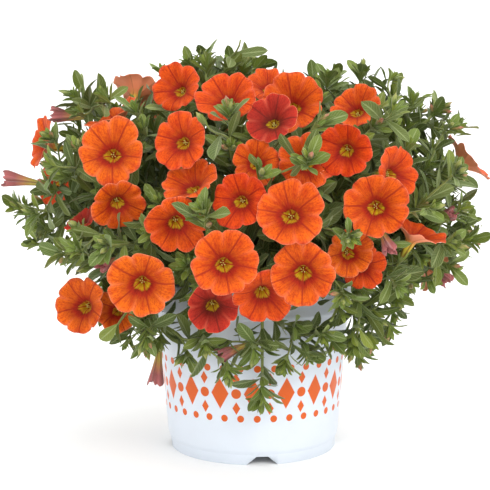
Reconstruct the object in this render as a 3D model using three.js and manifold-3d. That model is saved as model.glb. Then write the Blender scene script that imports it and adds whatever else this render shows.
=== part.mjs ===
// A mound of calibrachoa in its nursery pot. Millimetres, +Z up, the front of the mound faces -Y.
// The pot, the soil, each leafy stem, each group of open blooms and each spent bloom is a solid of its own.
import * as THREE from 'three';
import { mergeVertices } from 'three/addons/utils/BufferGeometryUtils.js';
import Module from 'manifold-3d';

const wasm = await Module();
wasm.setup();

// ---------------------------------------------------------------- driving dimensions
const GAP = 0.3;
const FINEST = 0.05;
const POT = {
  height: 150, rimRadius: 89, rimFrom: 125, neckRadius: 87, waistRadius: 83.7, waistAt: 85, heelRadius: 79,
  heelAt: 27, footRadius: 75.5, footHeight: 9, wall: 1.6, floorAt: 8, floorThick: 1.8, sides: 32,
  notches: 4, notchWide: 27, notchTop: 10, notchHigh: 7, notchTurn: 6, drainRadius: 6, drainRing: 48,
};
const SOIL = { top: 137, domed: 4, holeDepth: 20, holeRadius: 2.8 };
const MOUND = { reachX: 205, reachY: 190, up: 165, down: 112, middle: 190 };
const FLOWER = {
  lobes: 5, rise: 0.23, throat: 0.085, throatDepth: 0.12, tube: 0.38, tubeWall: 0.9,
  sinus: 0.84, shoulder: 1.0, notch: 0.96, blade: 0.7,
};
const CALYX = { depth: 5, below: 1.6, slack: 0.7, wall: 0.9, stalkRadius: 1.1, neck: 3.4, sides: 6 };
const STEM = { baseRadius: 2.0, tipRadius: 1.1, steps: 6, sides: 4 };
const TWIG = { rootRadius: 1.25, tipRadius: 0.9, stretch: 36, sides: 3 };
const LEAF = { long: 36, short: 25, width: 0.4, thick: 1.1, fold: 0.1, droop: 0.12, sunk: 0.3 };
const SPACING = { stem: 36, branch: 42, tipLeaves: 5, clear: 1.1 };
const CORE = {
  reach: 66, uneven: 0.4, loose: 0.25, within: 0.87, outer: 0.2, outward: 1.5, least: 13, limit: 46,
  apart: 1.1, clear: 2.2, nearest: 3, sample: 3.5, passes: 40, stalk: 1.9, spent: 5.4, petalBend: 0.08,
  dent: 0.5, dents: 110, onStem: [0.3, 0.4, 0.5, 0.6, 0.7, 0.8, 0.9], onBranch: [0.15, 0.35, 0.55, 0.8],
};

const FINISH = {
  whitePlastic: { color: 0xeef3f9, roughness: 0.35, metalness: 0 },
  pottingSoil: { color: 0x3a2e24, roughness: 0.95, metalness: 0 },
  foliage: { color: 0x5f7a35, roughness: 0.6, metalness: 0 },
  orangePetal: { color: 0xef5a1c, roughness: 0.55, metalness: 0 },
  redPetal: { color: 0xc8302e, roughness: 0.55, metalness: 0 },
  mauvePetal: { color: 0xb05a5e, roughness: 0.65, metalness: 0 },
};

// Open blooms: node, middle of the face x, y, z, width across, then where it faces: degrees round to the
// right of the front, and degrees up. Blooms whose petals press into each other share a node.
const OPEN_BLOOMS = [
  ['bloom_01', -112, -120, 263, 53, -3, 10],
  ['bloom_01', -105, -121, 220, 42, 18, -24],
  ['bloom_02', -57, -140, 270, 45, -22, 3],
  ['bloom_03', -63, -88, 316, 42, -28, 14],
  ['bloom_04', -22, -112, 306, 48, -15, 30],
  ['bloom_05', -49, -143, 240, 46, -35, 42],
  ['bloom_06', -11, -164, 225, 42, -14, 0],
  ['bloom_06', 26, -173, 217, 51, -8, 14],
  ['bloom_07', 92, -150, 221, 50, -8, 3],
  ['bloom_07', 111, -137, 245, 44, 38, 0],
  ['bloom_08', 36, -168, 171, 50, -6, -8],
  ['bloom_09', -20, -176, 180, 50, 10, 5],
  ['bloom_10', -85, -150, 161, 51, 1, -8],
  ['bloom_11', -145, -80, 136, 49, -23, 5],
  ['bloom_11', -116, -74, 131, 38, -10, 0],
  ['bloom_12', -31, -144, 143, 40, 4, -12],
  ['bloom_08', 8, -155, 152, 46, 8, -28],
  ['bloom_05', -57, -151, 206, 46, 12, -20],
  ['bloom_13', 13, -140, 287, 40, -18, 22],
  ['bloom_14', 32, -95, 304, 52, -3, 22],
  ['bloom_15', 13, -68, 322, 40, 0, 45],
  ['bloom_16', 82, -95, 300, 42, -20, 30],
  ['bloom_17', 68, -148, 262, 42, -20, -10],
  ['bloom_17', 40, -146, 254, 44, 0, 5],
  ['bloom_17', 2, -144, 254, 36, 0, 10],
  ['bloom_18', -190, -20, 274, 50, -60, 12],
  ['bloom_18', -182, -14, 238, 48, -50, -5],
  ['bloom_19', -118, -68, 296, 50, -60, 55],
  ['bloom_20', -105, 8, 325, 44, 160, 50],
  ['bloom_21', 194, -12, 262, 52, 78, 40],
  ['bloom_22', 75, -134, 184, 38, 10, 0],
  ['bloom_22', 88, -122, 171, 36, 20, -15],
  ['bloom_23', 130, -112, 202, 48, 50, 60],
  ['bloom_24', -140, -98, 209, 30, -45, 45],
];
const CRIMSON = ['bloom_03', 'bloom_12', 'bloom_13', 'bloom_24'];
// The back of the mound carries blooms on a spiral rule.
const BACK_BLOOMS = { count: 12, first: 25, fromAngle: 14, toAngle: 166, low: 150, high: 315, across: 46 };
// Spent blooms: node, mouth x, y, z, length, then where it points, as above.
const SPENT_BLOOMS = [
  ['spent_bloom_01', -176, -32, 298, 34, -85, 4],
  ['spent_bloom_02', -210, -62, 243, 34, -75, 10],
  ['spent_bloom_03', -82, -76, 70, 33, -40, -80],
  ['spent_bloom_04', -122, -112, 172, 26, -45, -15],
  ['spent_bloom_05', -27, -116, 100, 28, -70, -20],
  ['spent_bloom_06', 104, -146, 186, 24, 25, -50],
  ['spent_bloom_07', 170, -42, 152, 30, 60, -45],
  ['spent_bloom_08', 168, -72, 213, 26, 55, 15],
];
// Leafy stems rise from the soil; each entry is the tip of one.
const STEM_TIPS = [
  [-44, -5, 352], [74, 10, 336], [160, -25, 300], [196, -15, 187], [7, -104, 62], [84, -85, 104],
  [-212, -10, 217], [-155, -5, 322], [-90, -80, 103], [-125, 115, 285], [120, 120, 280], [0, 185, 190],
  [-18, -128, 264],
];
// Leafy side shoots, each entry the tip of one.
const SHOOT_TIPS = [
  [125, -10, 315], [157, -77, 248], [-155, -95, 180], [-112, -138, 190], [45, -105, 100], [-55, -100, 99],
  [-152, -89, 244], [102, -96, 300], [48, -138, 284], [-36, -162, 205], [-111, -92, 122], [158, -92, 188],
  [168, -62, 168], [60, 60, 335], [-60, 80, 325], [190, 60, 240], [-190, 70, 230], [40, 172, 245],
  [-90, 150, 190], [130, 130, 150], [-130, 120, 140], [5, 125, 300], [0, 15, 345],
];

// ---------------------------------------------------------------- drawing of lots
let state = 20711;
function draw() {
  state = (state + 0x6d2b79f5) | 0;
  let t = Math.imul(state ^ (state >>> 15), 1 | state);
  t = (t + Math.imul(t ^ (t >>> 7), 61 | t)) ^ t;
  return ((t ^ (t >>> 14)) >>> 0) / 4294967296;
}
const between = (low, high) => low + (high - low) * draw();

// ---------------------------------------------------------------- vectors and curves
const UP = new THREE.Vector3(0, 0, 1);
const vector = (x, y, z) => new THREE.Vector3(x, y, z);
const radians = (degrees) => (degrees * Math.PI) / 180;
const along = (point, direction, distance) => point.clone().addScaledVector(direction, distance);

function facing(round, up) {
  const level = Math.cos(radians(up));
  return vector(Math.sin(radians(round)) * level, -Math.cos(radians(round)) * level, Math.sin(radians(up)));
}

// Two directions square to an axis: the first level, the second upward.
function sideways(axis) {
  const level = UP.clone().cross(axis);
  if (level.length() < 1e-6) level.set(1, 0, 0);
  level.normalize();
  return [level, axis.clone().cross(level)];
}

function onCurve(curve, t) {
  const s = 1 - t;
  const weights = [s * s * s, 3 * s * s * t, 3 * s * t * t, t * t * t];
  return curve.reduce((sum, point, i) => sum.addScaledVector(point, weights[i]), vector(0, 0, 0));
}

function curveDirection(curve, t) {
  const step = 0.01;
  return onCurve(curve, t + step).sub(onCurve(curve, t - step)).normalize();
}

// The place and direction on a stalk at t, along the straight stretches that it is made of.
function onStalk(stalk, t) {
  const stretch = Math.min(Math.floor(t * stalk.steps), stalk.steps - 1);
  const from = onCurve(stalk.curve, stretch / stalk.steps);
  const run = onCurve(stalk.curve, (stretch + 1) / stalk.steps).sub(from);
  return { place: along(from, run, t * stalk.steps - stretch), direction: run.normalize() };
}

// The outward direction of the mound at a point on it.
function moundNormal(p) {
  const tall = p.z > MOUND.middle ? MOUND.up : MOUND.down;
  const normal = vector(p.x / MOUND.reachX ** 2, p.y / MOUND.reachY ** 2, (p.z - MOUND.middle) / tall ** 2);
  return normal.normalize();
}

// ---------------------------------------------------------------- solids
function closed(geometry) {
  const bare = geometry.index ? geometry.toNonIndexed() : geometry.clone();
  bare.deleteAttribute('normal');
  bare.deleteAttribute('uv');
  const merged = mergeVertices(bare, 1e-4);
  return new wasm.Manifold(new wasm.Mesh({
    numProp: 3,
    vertProperties: new Float32Array(merged.attributes.position.array),
    triVerts: new Uint32Array(merged.index.array),
  }));
}

function geometryOf(manifold) {
  const mesh = manifold.getMesh();
  const geometry = new THREE.BufferGeometry();
  geometry.setAttribute('position', new THREE.BufferAttribute(new Float32Array(mesh.vertProperties), 3));
  geometry.setIndex(new THREE.BufferAttribute(new Uint32Array(mesh.triVerts), 1));
  return geometry;
}

// A closed skin over rings of points, from the front end to the back end. Rings run anticlockwise seen
// from the front. A ring of one point closes an end, and a ring may have a multiple of its neighbour's
// points.
function skinned(rings) {
  const corners = [];
  const starts = rings.map((ring) => corners.push(...ring) - ring.length);
  const faces = [];
  for (let r = 0; r + 1 < rings.length; r++) {
    const widens = rings[r + 1].length >= rings[r].length;
    const [wide, narrow] = widens ? [r + 1, r] : [r, r + 1];
    const share = rings[wide].length / rings[narrow].length;
    const turn = Math.ceil(share / 2);
    const outer = (i) => starts[wide] + (i % rings[wide].length);
    const inner = (i) => starts[narrow] + (i % rings[narrow].length);
    for (let i = 0; i < rings[narrow].length; i++) {
      for (let j = 0; j < share; j++) {
        const face = [outer(i * share + j), outer(i * share + j + 1), inner(j < turn ? i : i + 1)];
        faces.push(widens ? face : face.reverse());
      }
      if (rings[narrow].length > 1) {
        const face = [inner(i), outer(i * share + turn), inner(i + 1)];
        faces.push(widens ? face : face.reverse());
      }
    }
  }
  const geometry = new THREE.BufferGeometry();
  geometry.setAttribute('position', new THREE.Float32BufferAttribute(corners.flatMap((p) => p.toArray()), 3));
  geometry.setIndex(faces.flat());
  return closed(geometry);
}

function ring(middle, across, upward, radius, count, turn = 0) {
  return Array.from({ length: count }, (_, i) => {
    const angle = turn + (i / count) * 2 * Math.PI;
    return along(along(middle, across, radius * Math.cos(angle)), upward, radius * Math.sin(angle));
  });
}

// Rings along a curve from its far end back to its root, each turned as little as can be.
function stalkRings(curve, steps, sides, endRadius, rootRadius, firstAcross, endAt = 1) {
  const rings = [];
  let across = firstAcross.clone();
  for (let i = 0; i <= steps; i++) {
    const t = endAt * (1 - i / steps);
    const axis = curveDirection(curve, Math.min(Math.max(t, 0.01), 0.99));
    across = along(across, axis, -across.dot(axis)).normalize();
    const radius = endRadius + ((rootRadius - endRadius) * i) / steps;
    rings.push(ring(onCurve(curve, t), across, axis.clone().cross(across), radius, sides));
  }
  return rings;
}

function middleOf(points) {
  return points.reduce((sum, p) => sum.add(p), vector(0, 0, 0)).divideScalar(points.length);
}

function lathed(profile, sides) {
  const geometry = new THREE.LatheGeometry(profile.map(([r, z]) => new THREE.Vector2(r, z)), sides);
  geometry.rotateX(Math.PI / 2);
  geometry.scale(1, -1, 1);
  const mirrored = geometry.index.array;
  for (let i = 0; i < mirrored.length; i += 3) {
    [mirrored[i], mirrored[i + 1]] = [mirrored[i + 1], mirrored[i]];
  }
  return closed(geometry);
}

function rod(radius, from, to, x, y, sides) {
  const geometry = new THREE.CylinderGeometry(radius, radius, to - from, sides);
  geometry.rotateX(Math.PI / 2);
  geometry.translate(x, y, (from + to) / 2);
  return closed(geometry);
}

// ---------------------------------------------------------------- pot and soil
function potWallAt(z) {
  const stations = [
    [0, POT.footRadius], [POT.heelAt, POT.heelRadius], [POT.waistAt, POT.waistRadius],
    [POT.rimFrom, POT.neckRadius], [POT.height, POT.neckRadius + 0.4],
  ];
  const upper = stations.findIndex(([height]) => height >= z);
  const [z0, r0] = stations[Math.max(upper - 1, 0)];
  const [z1, r1] = stations[Math.max(upper, 1)];
  return r0 + ((r1 - r0) * (z - z0)) / (z1 - z0);
}

function pot() {
  const inside = (z) => potWallAt(z) - POT.wall;
  const floorTop = POT.floorAt + POT.floorThick;
  let body = lathed([
    [0, POT.floorAt], [POT.footRadius - 4, POT.floorAt], [POT.footRadius - 3, 0], [POT.footRadius, 0],
    [POT.footRadius, POT.footHeight], [POT.footRadius + 1, POT.footHeight + 3], [POT.heelRadius, POT.heelAt],
    [POT.waistRadius, POT.waistAt], [POT.neckRadius, POT.rimFrom], [POT.rimRadius, POT.rimFrom],
    [POT.rimRadius + 0.5, POT.height - 2], [POT.rimRadius - 0.4, POT.height],
    [inside(POT.height), POT.height], [inside(POT.rimFrom), POT.rimFrom], [inside(POT.waistAt), POT.waistAt],
    [inside(POT.heelAt), POT.heelAt], [inside(floorTop), floorTop], [0, floorTop],
  ], POT.sides);
  for (let i = 0; i < POT.notches; i++) {
    const outline = new THREE.Shape([
      new THREE.Vector2(-POT.notchWide / 2, -1), new THREE.Vector2(POT.notchWide / 2, -1),
      new THREE.Vector2(POT.notchTop / 2, POT.notchHigh), new THREE.Vector2(-POT.notchTop / 2, POT.notchHigh),
    ]);
    const notch = new THREE.ExtrudeGeometry(outline, { depth: 12, bevelEnabled: false });
    notch.rotateX(Math.PI / 2);
    notch.translate(0, -POT.footRadius + 8, 0);
    notch.rotateZ(radians(POT.notchTurn + (i * 360) / POT.notches));
    body = body.subtract(closed(notch));
    const angle = radians(45 + (i * 360) / POT.notches);
    const [x, y] = [Math.cos(angle) * POT.drainRing, Math.sin(angle) * POT.drainRing];
    body = body.subtract(rod(POT.drainRadius, 0, floorTop + 2, x, y, 8));
  }
  return body;
}

function soil(roots) {
  const inside = (z) => potWallAt(z) - POT.wall - GAP;
  const bottom = POT.floorAt + POT.floorThick + GAP;
  let body = lathed([
    [0, bottom], [inside(bottom) - GAP, bottom], [inside(POT.heelAt), POT.heelAt],
    [inside(POT.waistAt), POT.waistAt], [inside(POT.rimFrom), POT.rimFrom], [inside(SOIL.top), SOIL.top],
    [0.6 * POT.rimRadius, SOIL.top + 0.7 * SOIL.domed], [0, SOIL.top + SOIL.domed],
  ], POT.sides / 2);
  for (const root of roots) {
    body = body.subtract(rod(SOIL.holeRadius, root.z - SOIL.holeDepth - GAP, POT.height, root.x, root.y, 6));
  }
  return body;
}

// ---------------------------------------------------------------- layout of the plant
function bloomFrom([node, x, y, z, across, round, up]) {
  const axis = facing(round, up);
  const face = vector(x, y, z);
  const throat = along(face, axis, -FLOWER.rise * across);
  const bloom = { node, axis, across, throat, roll: between(0, 2 * Math.PI / FLOWER.lobes), curls: [] };
  for (let i = 0; i < FLOWER.lobes; i++) bloom.curls.push(between(-0.05, 0.07));
  bloom.tubeBase = along(throat, axis, -FLOWER.tube * across);
  bloom.calyxEnd = along(bloom.tubeBase, axis, -CALYX.neck);
  return bloom;
}

function backBloomRows() {
  const rows = [];
  const golden = 0.618034;
  for (let i = 0; i < BACK_BLOOMS.count; i++) {
    const share = (i + 0.5) / BACK_BLOOMS.count;
    const sweep = BACK_BLOOMS.toAngle - BACK_BLOOMS.fromAngle;
    const angle = radians(BACK_BLOOMS.fromAngle + sweep * ((i * golden) % 1));
    const z = BACK_BLOOMS.low + (BACK_BLOOMS.high - BACK_BLOOMS.low) * share;
    const tall = z > MOUND.middle ? MOUND.up : MOUND.down;
    const reach = 0.93 * Math.sqrt(1 - ((z - MOUND.middle) / tall) ** 2);
    const place = vector(Math.cos(angle) * MOUND.reachX * reach, Math.sin(angle) * MOUND.reachY * reach, z);
    const normal = moundNormal(place);
    const round = THREE.MathUtils.radToDeg(Math.atan2(normal.x, -normal.y)) + between(-12, 12);
    const up = THREE.MathUtils.radToDeg(Math.asin(normal.z)) + between(-8, 12);
    const across = BACK_BLOOMS.across + between(-5, 5);
    rows.push([`bloom_${BACK_BLOOMS.first + i}`, place.x, place.y, place.z, across, round, up]);
  }
  return rows;
}

function spentFrom([node, x, y, z, length, round, up]) {
  const axis = facing(round, up);
  const mouth = vector(x, y, z);
  const tubeBase = along(mouth, axis, -length);
  return { node, axis, length, mouth, tubeBase, calyxEnd: along(tubeBase, axis, -CALYX.neck) };
}

function stemFrom(tip, i) {
  const end = vector(...tip);
  const out = vector(end.x, end.y, 0).normalize();
  const angle = Math.atan2(end.y, end.x) + between(-0.1, 0.1);
  const radius = 18 + 0.17 * Math.hypot(end.x, end.y) - 14 * (i % 2);
  const root = vector(Math.cos(angle) * radius, Math.sin(angle) * radius, SOIL.top + SOIL.domed);
  const trails = end.z < POT.height;
  const span = end.distanceTo(root);
  const first = along(root, UP, trails ? 100 : 0.4 * span);
  const second = trails
    ? along(vector(end.x, end.y, MOUND.middle), out, 30)
    : along(end, moundNormal(end), -0.32 * span);
  const node = `leafy_stem_${String(i + 1).padStart(2, '0')}`;
  return { node, curve: [root, first, second, end], steps: STEM.steps, branches: [], leaves: [], cores: [] };
}

// The stem and the place on it from which a branch reaches its end best.
function bestFork(stems, end, axis) {
  const aim = along(end, axis, -20);
  let best = { cost: Infinity };
  stems.forEach((stem) => {
    for (let t = 0.3; t < 0.93; t += 0.05) {
      const { place, direction } = onStalk(stem, t);
      const reach = aim.clone().sub(place);
      const cost = reach.length() - 0.45 * reach.dot(direction);
      if (cost < best.cost) best = { cost, stem, fork: place, direction };
    }
  });
  return best;
}

function branchTo(stems, end, axis, flower) {
  const { stem, fork, direction } = bestFork(stems, end, axis);
  const span = fork.distanceTo(end);
  const first = along(fork, direction, 0.3 * span);
  const second = along(end, axis, -0.38 * span);
  const steps = Math.min(Math.max(Math.round(span / TWIG.stretch), 2), 3);
  stem.branches.push({ curve: [fork, first, second, end], steps, flower });
}

// ---------------------------------------------------------------- clearance between neighbours
const CELL = 8;
const PROBE = { leaf: 1.4, stem: 2.2, perStem: 24, calyx: 3.4, spent: 4.5, perSpent: 6 };
const taken = new Map();
const cellKey = (x, y, z) => (x + 64) * 16384 + (y + 64) * 128 + z + 64;

function take(point, radius, owner) {
  const key = cellKey(Math.floor(point.x / CELL), Math.floor(point.y / CELL), Math.floor(point.z / CELL));
  if (!taken.has(key)) taken.set(key, []);
  taken.get(key).push({ point, radius, owner });
}

function free(point, radius, owner) {
  const [cx, cy, cz] = [point.x, point.y, point.z].map((value) => Math.floor(value / CELL));
  for (let x = cx - 1; x <= cx + 1; x++) {
    for (let y = cy - 1; y <= cy + 1; y++) {
      for (let z = cz - 1; z <= cz + 1; z++) {
        for (const other of taken.get(cellKey(x, y, z)) ?? []) {
          const near = other.radius + radius + SPACING.clear;
          const apart = other.point.distanceToSquared(point);
          if (other.owner !== owner && apart < near * near) return false;
        }
      }
    }
  }
  return true;
}

const petalHeight = (share) => FLOWER.rise * (1 - (1 - share) ** 1.8);

// Whether a point keeps clear of a bloom's petals and tube.
function clearOfBloom(point, bloom) {
  const offset = point.clone().sub(bloom.throat);
  const height = offset.dot(bloom.axis);
  const reach = along(offset, bloom.axis, -height).length();
  const radius = bloom.across / 2;
  if (reach > radius + 2) return true;
  if (height < -FLOWER.tube * bloom.across - 3) return true;
  if (height < -1) return reach > 7;
  const inner = FLOWER.throat * bloom.across;
  const share = Math.max((reach - inner) / (radius - inner), 0);
  const petal = petalHeight(share) * bloom.across;
  return Math.abs(height - petal) > 2.6 + 0.08 * bloom.across * share;
}

function clearOfPot(point) {
  const reach = Math.hypot(point.x, point.y);
  if (point.z > POT.height + 2) return true;
  if (reach > POT.rimRadius + 2.5) return true;
  return reach < POT.neckRadius - 6 && point.z > SOIL.top + SOIL.domed + 3;
}

// ---------------------------------------------------------------- leaves
function leafFrame(base, direction, upper) {
  const normal = along(upper, direction, -upper.dot(direction)).normalize();
  return { base, direction, normal, side: direction.clone().cross(normal) };
}

function onLeaf(leaf, share, aside, lift) {
  const bow = -LEAF.droop * leaf.length * share * share;
  const point = along(leaf.frame.base, leaf.frame.direction, leaf.length * share);
  return along(along(point, leaf.frame.side, aside), leaf.frame.normal, bow + lift);
}

function leafSolid(leaf) {
  const half = (LEAF.width * leaf.length) / 2;
  const fold = LEAF.fold * half * 2;
  const outline = [
    onLeaf(leaf, 0, 0, 0), onLeaf(leaf, 0.34, half, fold), onLeaf(leaf, 0.74, 0.8 * half, fold),
    onLeaf(leaf, 1, 0, 0), onLeaf(leaf, 0.74, -0.8 * half, fold), onLeaf(leaf, 0.34, -half, fold),
  ];
  return skinned([[onLeaf(leaf, 0.5, 0, LEAF.thick / 2)], outline, [onLeaf(leaf, 0.5, 0, -LEAF.thick / 2)]]);
}

// Points over a blade that stand for it when clearances are tested.
function leafProbes(leaf) {
  const half = 0.8 * (LEAF.width * leaf.length) / 2;
  return [0.3, 0.5, 0.7, 0.88, 1.04].flatMap((share) => [-1, 0, 1].map((aside) => (
    onLeaf(leaf, share, aside * half * Math.min(1, 2.4 - 2 * share), 0)
  )));
}

// Puts a leaf on a stem at t, turned about it by an angle, if it keeps clear of all that is there.
function grow(stem, carrier, t, angle, length, spread, blooms) {
  const { place, direction: axis } = onStalk(carrier, t);
  const [level, upward] = sideways(axis);
  for (let attempt = 0; attempt < 5; attempt++) {
    const turn = angle + attempt * 1.1;
    const out = along(level.clone().multiplyScalar(Math.cos(turn)), upward, Math.sin(turn));
    const direction = out.multiplyScalar(Math.sin(spread)).addScaledVector(axis, Math.cos(spread));
    direction.addScaledVector(UP, 0.12).normalize();
    const frame = leafFrame(along(place, direction, -LEAF.sunk), direction, axis);
    const leaf = { frame, length };
    const probes = leafProbes(leaf);
    const open = probes.every((p) => clearOfPot(p) && free(p, PROBE.leaf, carrier)
      && blooms.every((bloom) => clearOfBloom(p, bloom)));
    if (open) {
      probes.forEach((p) => take(p, PROBE.leaf, leaf));
      stem.leaves.push(leaf);
      return;
    }
  }
}

function curveLength(curve) {
  const places = Array.from({ length: 9 }, (_, i) => onCurve(curve, i / 8));
  return places.slice(1).reduce((length, place, i) => length + place.distanceTo(places[i]), 0);
}

function leavesAlong(stem, carrier, from, step, blooms) {
  const golden = 2.39996;
  const length = curveLength(carrier.curve);
  const count = Math.floor((length * (1 - from)) / step);
  let angle = between(0, 2 * Math.PI);
  for (let i = 0; i < count; i++) {
    const share = (i + 0.5) / Math.max(count, 1);
    const t = from + (0.94 - from) * share;
    const leafLength = (LEAF.long + (LEAF.short - LEAF.long) * t) * between(0.9, 1.15);
    grow(stem, carrier, t, angle, leafLength, between(0.85, 1.15), blooms);
    angle += golden;
  }
}

function tipLeaves(stem, carrier, blooms) {
  const first = between(0, 2 * Math.PI);
  for (let i = 0; i < SPACING.tipLeaves; i++) {
    const angle = first + (i * 2 * Math.PI) / SPACING.tipLeaves;
    grow(stem, carrier, 0.97, angle, LEAF.short * between(0.9, 1.25), between(0.55, 0.8), blooms);
  }
}

// ---------------------------------------------------------------- dense middles of the leafy stems
// Inside the foliage the leaves lie too close to be drawn one by one. An uneven faceted core of the same node
// fills that room, and the leaves, stalks and shoots stand out of it.
const SPIKES = (() => {
  const sphere = new THREE.IcosahedronGeometry(1, 0);
  const bare = new THREE.BufferGeometry().setAttribute('position', sphere.attributes.position);
  const { attributes: { position }, index } = mergeVertices(bare, 1e-4);
  const corners = Array.from({ length: position.count }, (_, i) => (
    vector(0, 0, 0).fromBufferAttribute(position, i)));
  const faces = Array.from({ length: index.count / 3 }, (_, i) => (
    Array.from(index.array.slice(3 * i, 3 * i + 3))));
  return { corners, faces };
})();

// The share of the mound's reach at which a point lies. The mound is squarer above its middle than below.
function moundShare(p) {
  const above = p.z > MOUND.middle;
  const power = above ? 3 : 2;
  const round = Math.hypot(p.x / MOUND.reachX, p.y / MOUND.reachY);
  const height = Math.abs(p.z - MOUND.middle) / (above ? MOUND.up : MOUND.down);
  return (round ** power + height ** power) ** (1 / power);
}

// Points over everything that a core keeps clear of, each with a radius and the node it is on.
function surfacePoints() {
  const points = [];
  const add = (point, radius, node) => points.push({ point, radius, node });
  const addRing = (level, reach, node) => {
    const count = Math.ceil((2 * Math.PI * reach) / CORE.sample);
    ring(vector(0, 0, level), vector(1, 0, 0), vector(0, 1, 0), reach, count).forEach((p) => add(p, 1, node));
  };
  for (const stem of stems) {
    for (const carrier of [stem, ...stem.branches]) {
      const count = Math.ceil(curveLength(carrier.curve) / CORE.sample);
      for (let i = 0; i <= count; i++) add(onStalk(carrier, i / count).place, CORE.stalk, stem.node);
      for (let i = -1; carrier.flower && i <= 2; i++) {
        add(along(carrier.flower.tubeBase, carrier.flower.axis, i * CALYX.depth / 2), CALYX.neck, stem.node);
      }
    }
    for (const leaf of stem.leaves) {
      const half = (LEAF.width * leaf.length) / 2;
      for (let share = 0; share < 1.01; share += 0.125) {
        const wide = half * Math.min(1, 3 * share, 4.3 * (1.02 - share));
        [-wide, 0, wide].forEach((aside) => add(onLeaf(leaf, share, aside, 0), 1, stem.node));
      }
    }
  }
  for (const bloom of openBlooms) {
    const [across, upward] = sideways(bloom.axis);
    const inner = FLOWER.throat * bloom.across;
    for (let share = 0.1; share < 1; share += 0.15) {
      const place = along(bloom.tubeBase, bloom.axis, share * FLOWER.tube * bloom.across);
      add(place, share * (inner + FLOWER.tubeWall), bloom.node);
    }
    for (let share = 0.1; share < 1.01; share += 0.15) {
      const reach = inner + (bloom.across / 2 - inner) * share;
      const middle = along(bloom.throat, bloom.axis, FLOWER.rise * bloom.across * share);
      const count = Math.ceil((2 * Math.PI * reach) / CORE.sample);
      const bend = CORE.petalBend * bloom.across * share;
      ring(middle, across, upward, reach, count).forEach((p) => add(p, bend, bloom.node));
    }
  }
  for (const spent of spentBlooms) {
    for (let share = 0; share < 1.01; share += 0.125) {
      add(along(spent.tubeBase, spent.axis, share * spent.length), CORE.spent, spent.node);
    }
  }
  for (let reach = CORE.sample; reach < POT.rimRadius; reach += CORE.sample) {
    addRing(reach < POT.neckRadius - POT.wall ? SOIL.top + SOIL.domed : POT.height, reach, 'pot');
  }
  for (let z = 0; z < POT.height; z += CORE.sample) addRing(z, POT.rimRadius, 'pot');
  return points;
}

// Shortens the spikes of a core until its faces keep clear of the points near it.
function shortened(lengths, near) {
  for (let pass = 0, moved = true; moved && pass < CORE.passes; pass++) {
    moved = false;
    for (const { clear, face, weights } of near) {
      const out = 1 / face.reduce((sum, corner, i) => sum + weights[i] / lengths[corner], 0);
      if (out < clear + 0.01) continue;
      face.forEach((corner, i) => {
        if (weights[i] > 0.02) lengths[corner] *= Math.max((clear / out) ** (0.5 + weights[i]), 0.5);
      });
      moved = true;
    }
  }
}

// An uneven faceted core about a place on a stalk, as wide as its neighbours let it be.
function coreAt({ node, middle, spikes, reaches }, points) {
  const lengths = reaches.map((reach, i) => {
    let length = reach;
    while (length > 1 && moundShare(along(middle, spikes[i], length)) > CORE.within) length *= 0.93;
    return length;
  });
  const inverses = SPIKES.faces.map((face) => {
    const [u, v, w] = face.map((corner) => spikes[corner]);
    return new THREE.Matrix3().set(u.x, v.x, w.x, u.y, v.y, w.y, u.z, v.z, w.z).invert();
  });
  const near = [];
  for (const { point, radius, node: owner } of points) {
    const distance = point.distanceTo(middle);
    const clear = distance - radius - CORE.clear;
    if (owner === node || clear > CORE.reach) continue;
    if (clear < CORE.nearest) return null;
    const direction = point.clone().sub(middle).divideScalar(distance);
    inverses.forEach((inverse, i) => {
      const weights = direction.clone().applyMatrix3(inverse).toArray();
      if (Math.min(...weights) > -1e-6) near.push({ clear, face: SPIKES.faces[i], weights });
    });
  }
  shortened(lengths, near);
  const corners = spikes.map((spike, i) => along(middle, spike, Math.max(lengths[i], 2)));
  const volume = SPIKES.faces.reduce((sum, face) => {
    const [u, v, w] = face.map((corner) => corners[corner].clone().sub(middle));
    return sum + u.dot(v.cross(w)) / 6;
  }, 0);
  const holds = (point) => {
    const offset = point.clone().sub(middle);
    return inverses.some((inverse, i) => {
      const weights = offset.clone().applyMatrix3(inverse).toArray();
      const share = weights.reduce((sum, weight, k) => sum + weight / lengths[SPIKES.faces[i][k]], 0);
      return Math.min(...weights) > -1e-6 && share < 1;
    });
  };
  const size = Math.cbrt((0.75 * volume) / Math.PI);
  return { node, middle, corners, holds, dents: new Map(), size };
}

// Marks the broadest outer faces, which are dented so that the corners round them stand out like leaf tips.
function chooseDents() {
  const cores = stems.flatMap((stem) => stem.cores);
  const faces = cores.flatMap((core) => SPIKES.faces.map((face) => {
    const [u, v, w] = face.map((corner) => core.corners[corner]);
    const square = v.clone().sub(u).cross(w.clone().sub(u));
    const place = u.clone().add(v).add(w).divideScalar(3);
    const hidden = cores.some((other) => other !== core && other.holds(place));
    return { core, face, place, worth: hidden ? 0 : square.dot(moundNormal(place)) };
  }));
  for (const { core, face, place } of faces.sort((a, b) => b.worth - a.worth).slice(0, CORE.dents)) {
    core.dents.set(face, core.middle.clone().lerp(place, CORE.dent));
  }
}

function coreSolid({ corners, dents }) {
  const points = [...corners];
  const faces = SPIKES.faces.flatMap((face) => {
    if (!dents.has(face)) return [face];
    const dent = points.push(dents.get(face)) - 1;
    return [0, 1, 2].map((i) => [face[i], face[(i + 1) % 3], dent]);
  });
  const geometry = new THREE.BufferGeometry();
  geometry.setAttribute('position', new THREE.Float32BufferAttribute(points.flatMap((p) => p.toArray()), 3));
  geometry.setIndex(faces.flat());
  return closed(geometry);
}

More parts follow.
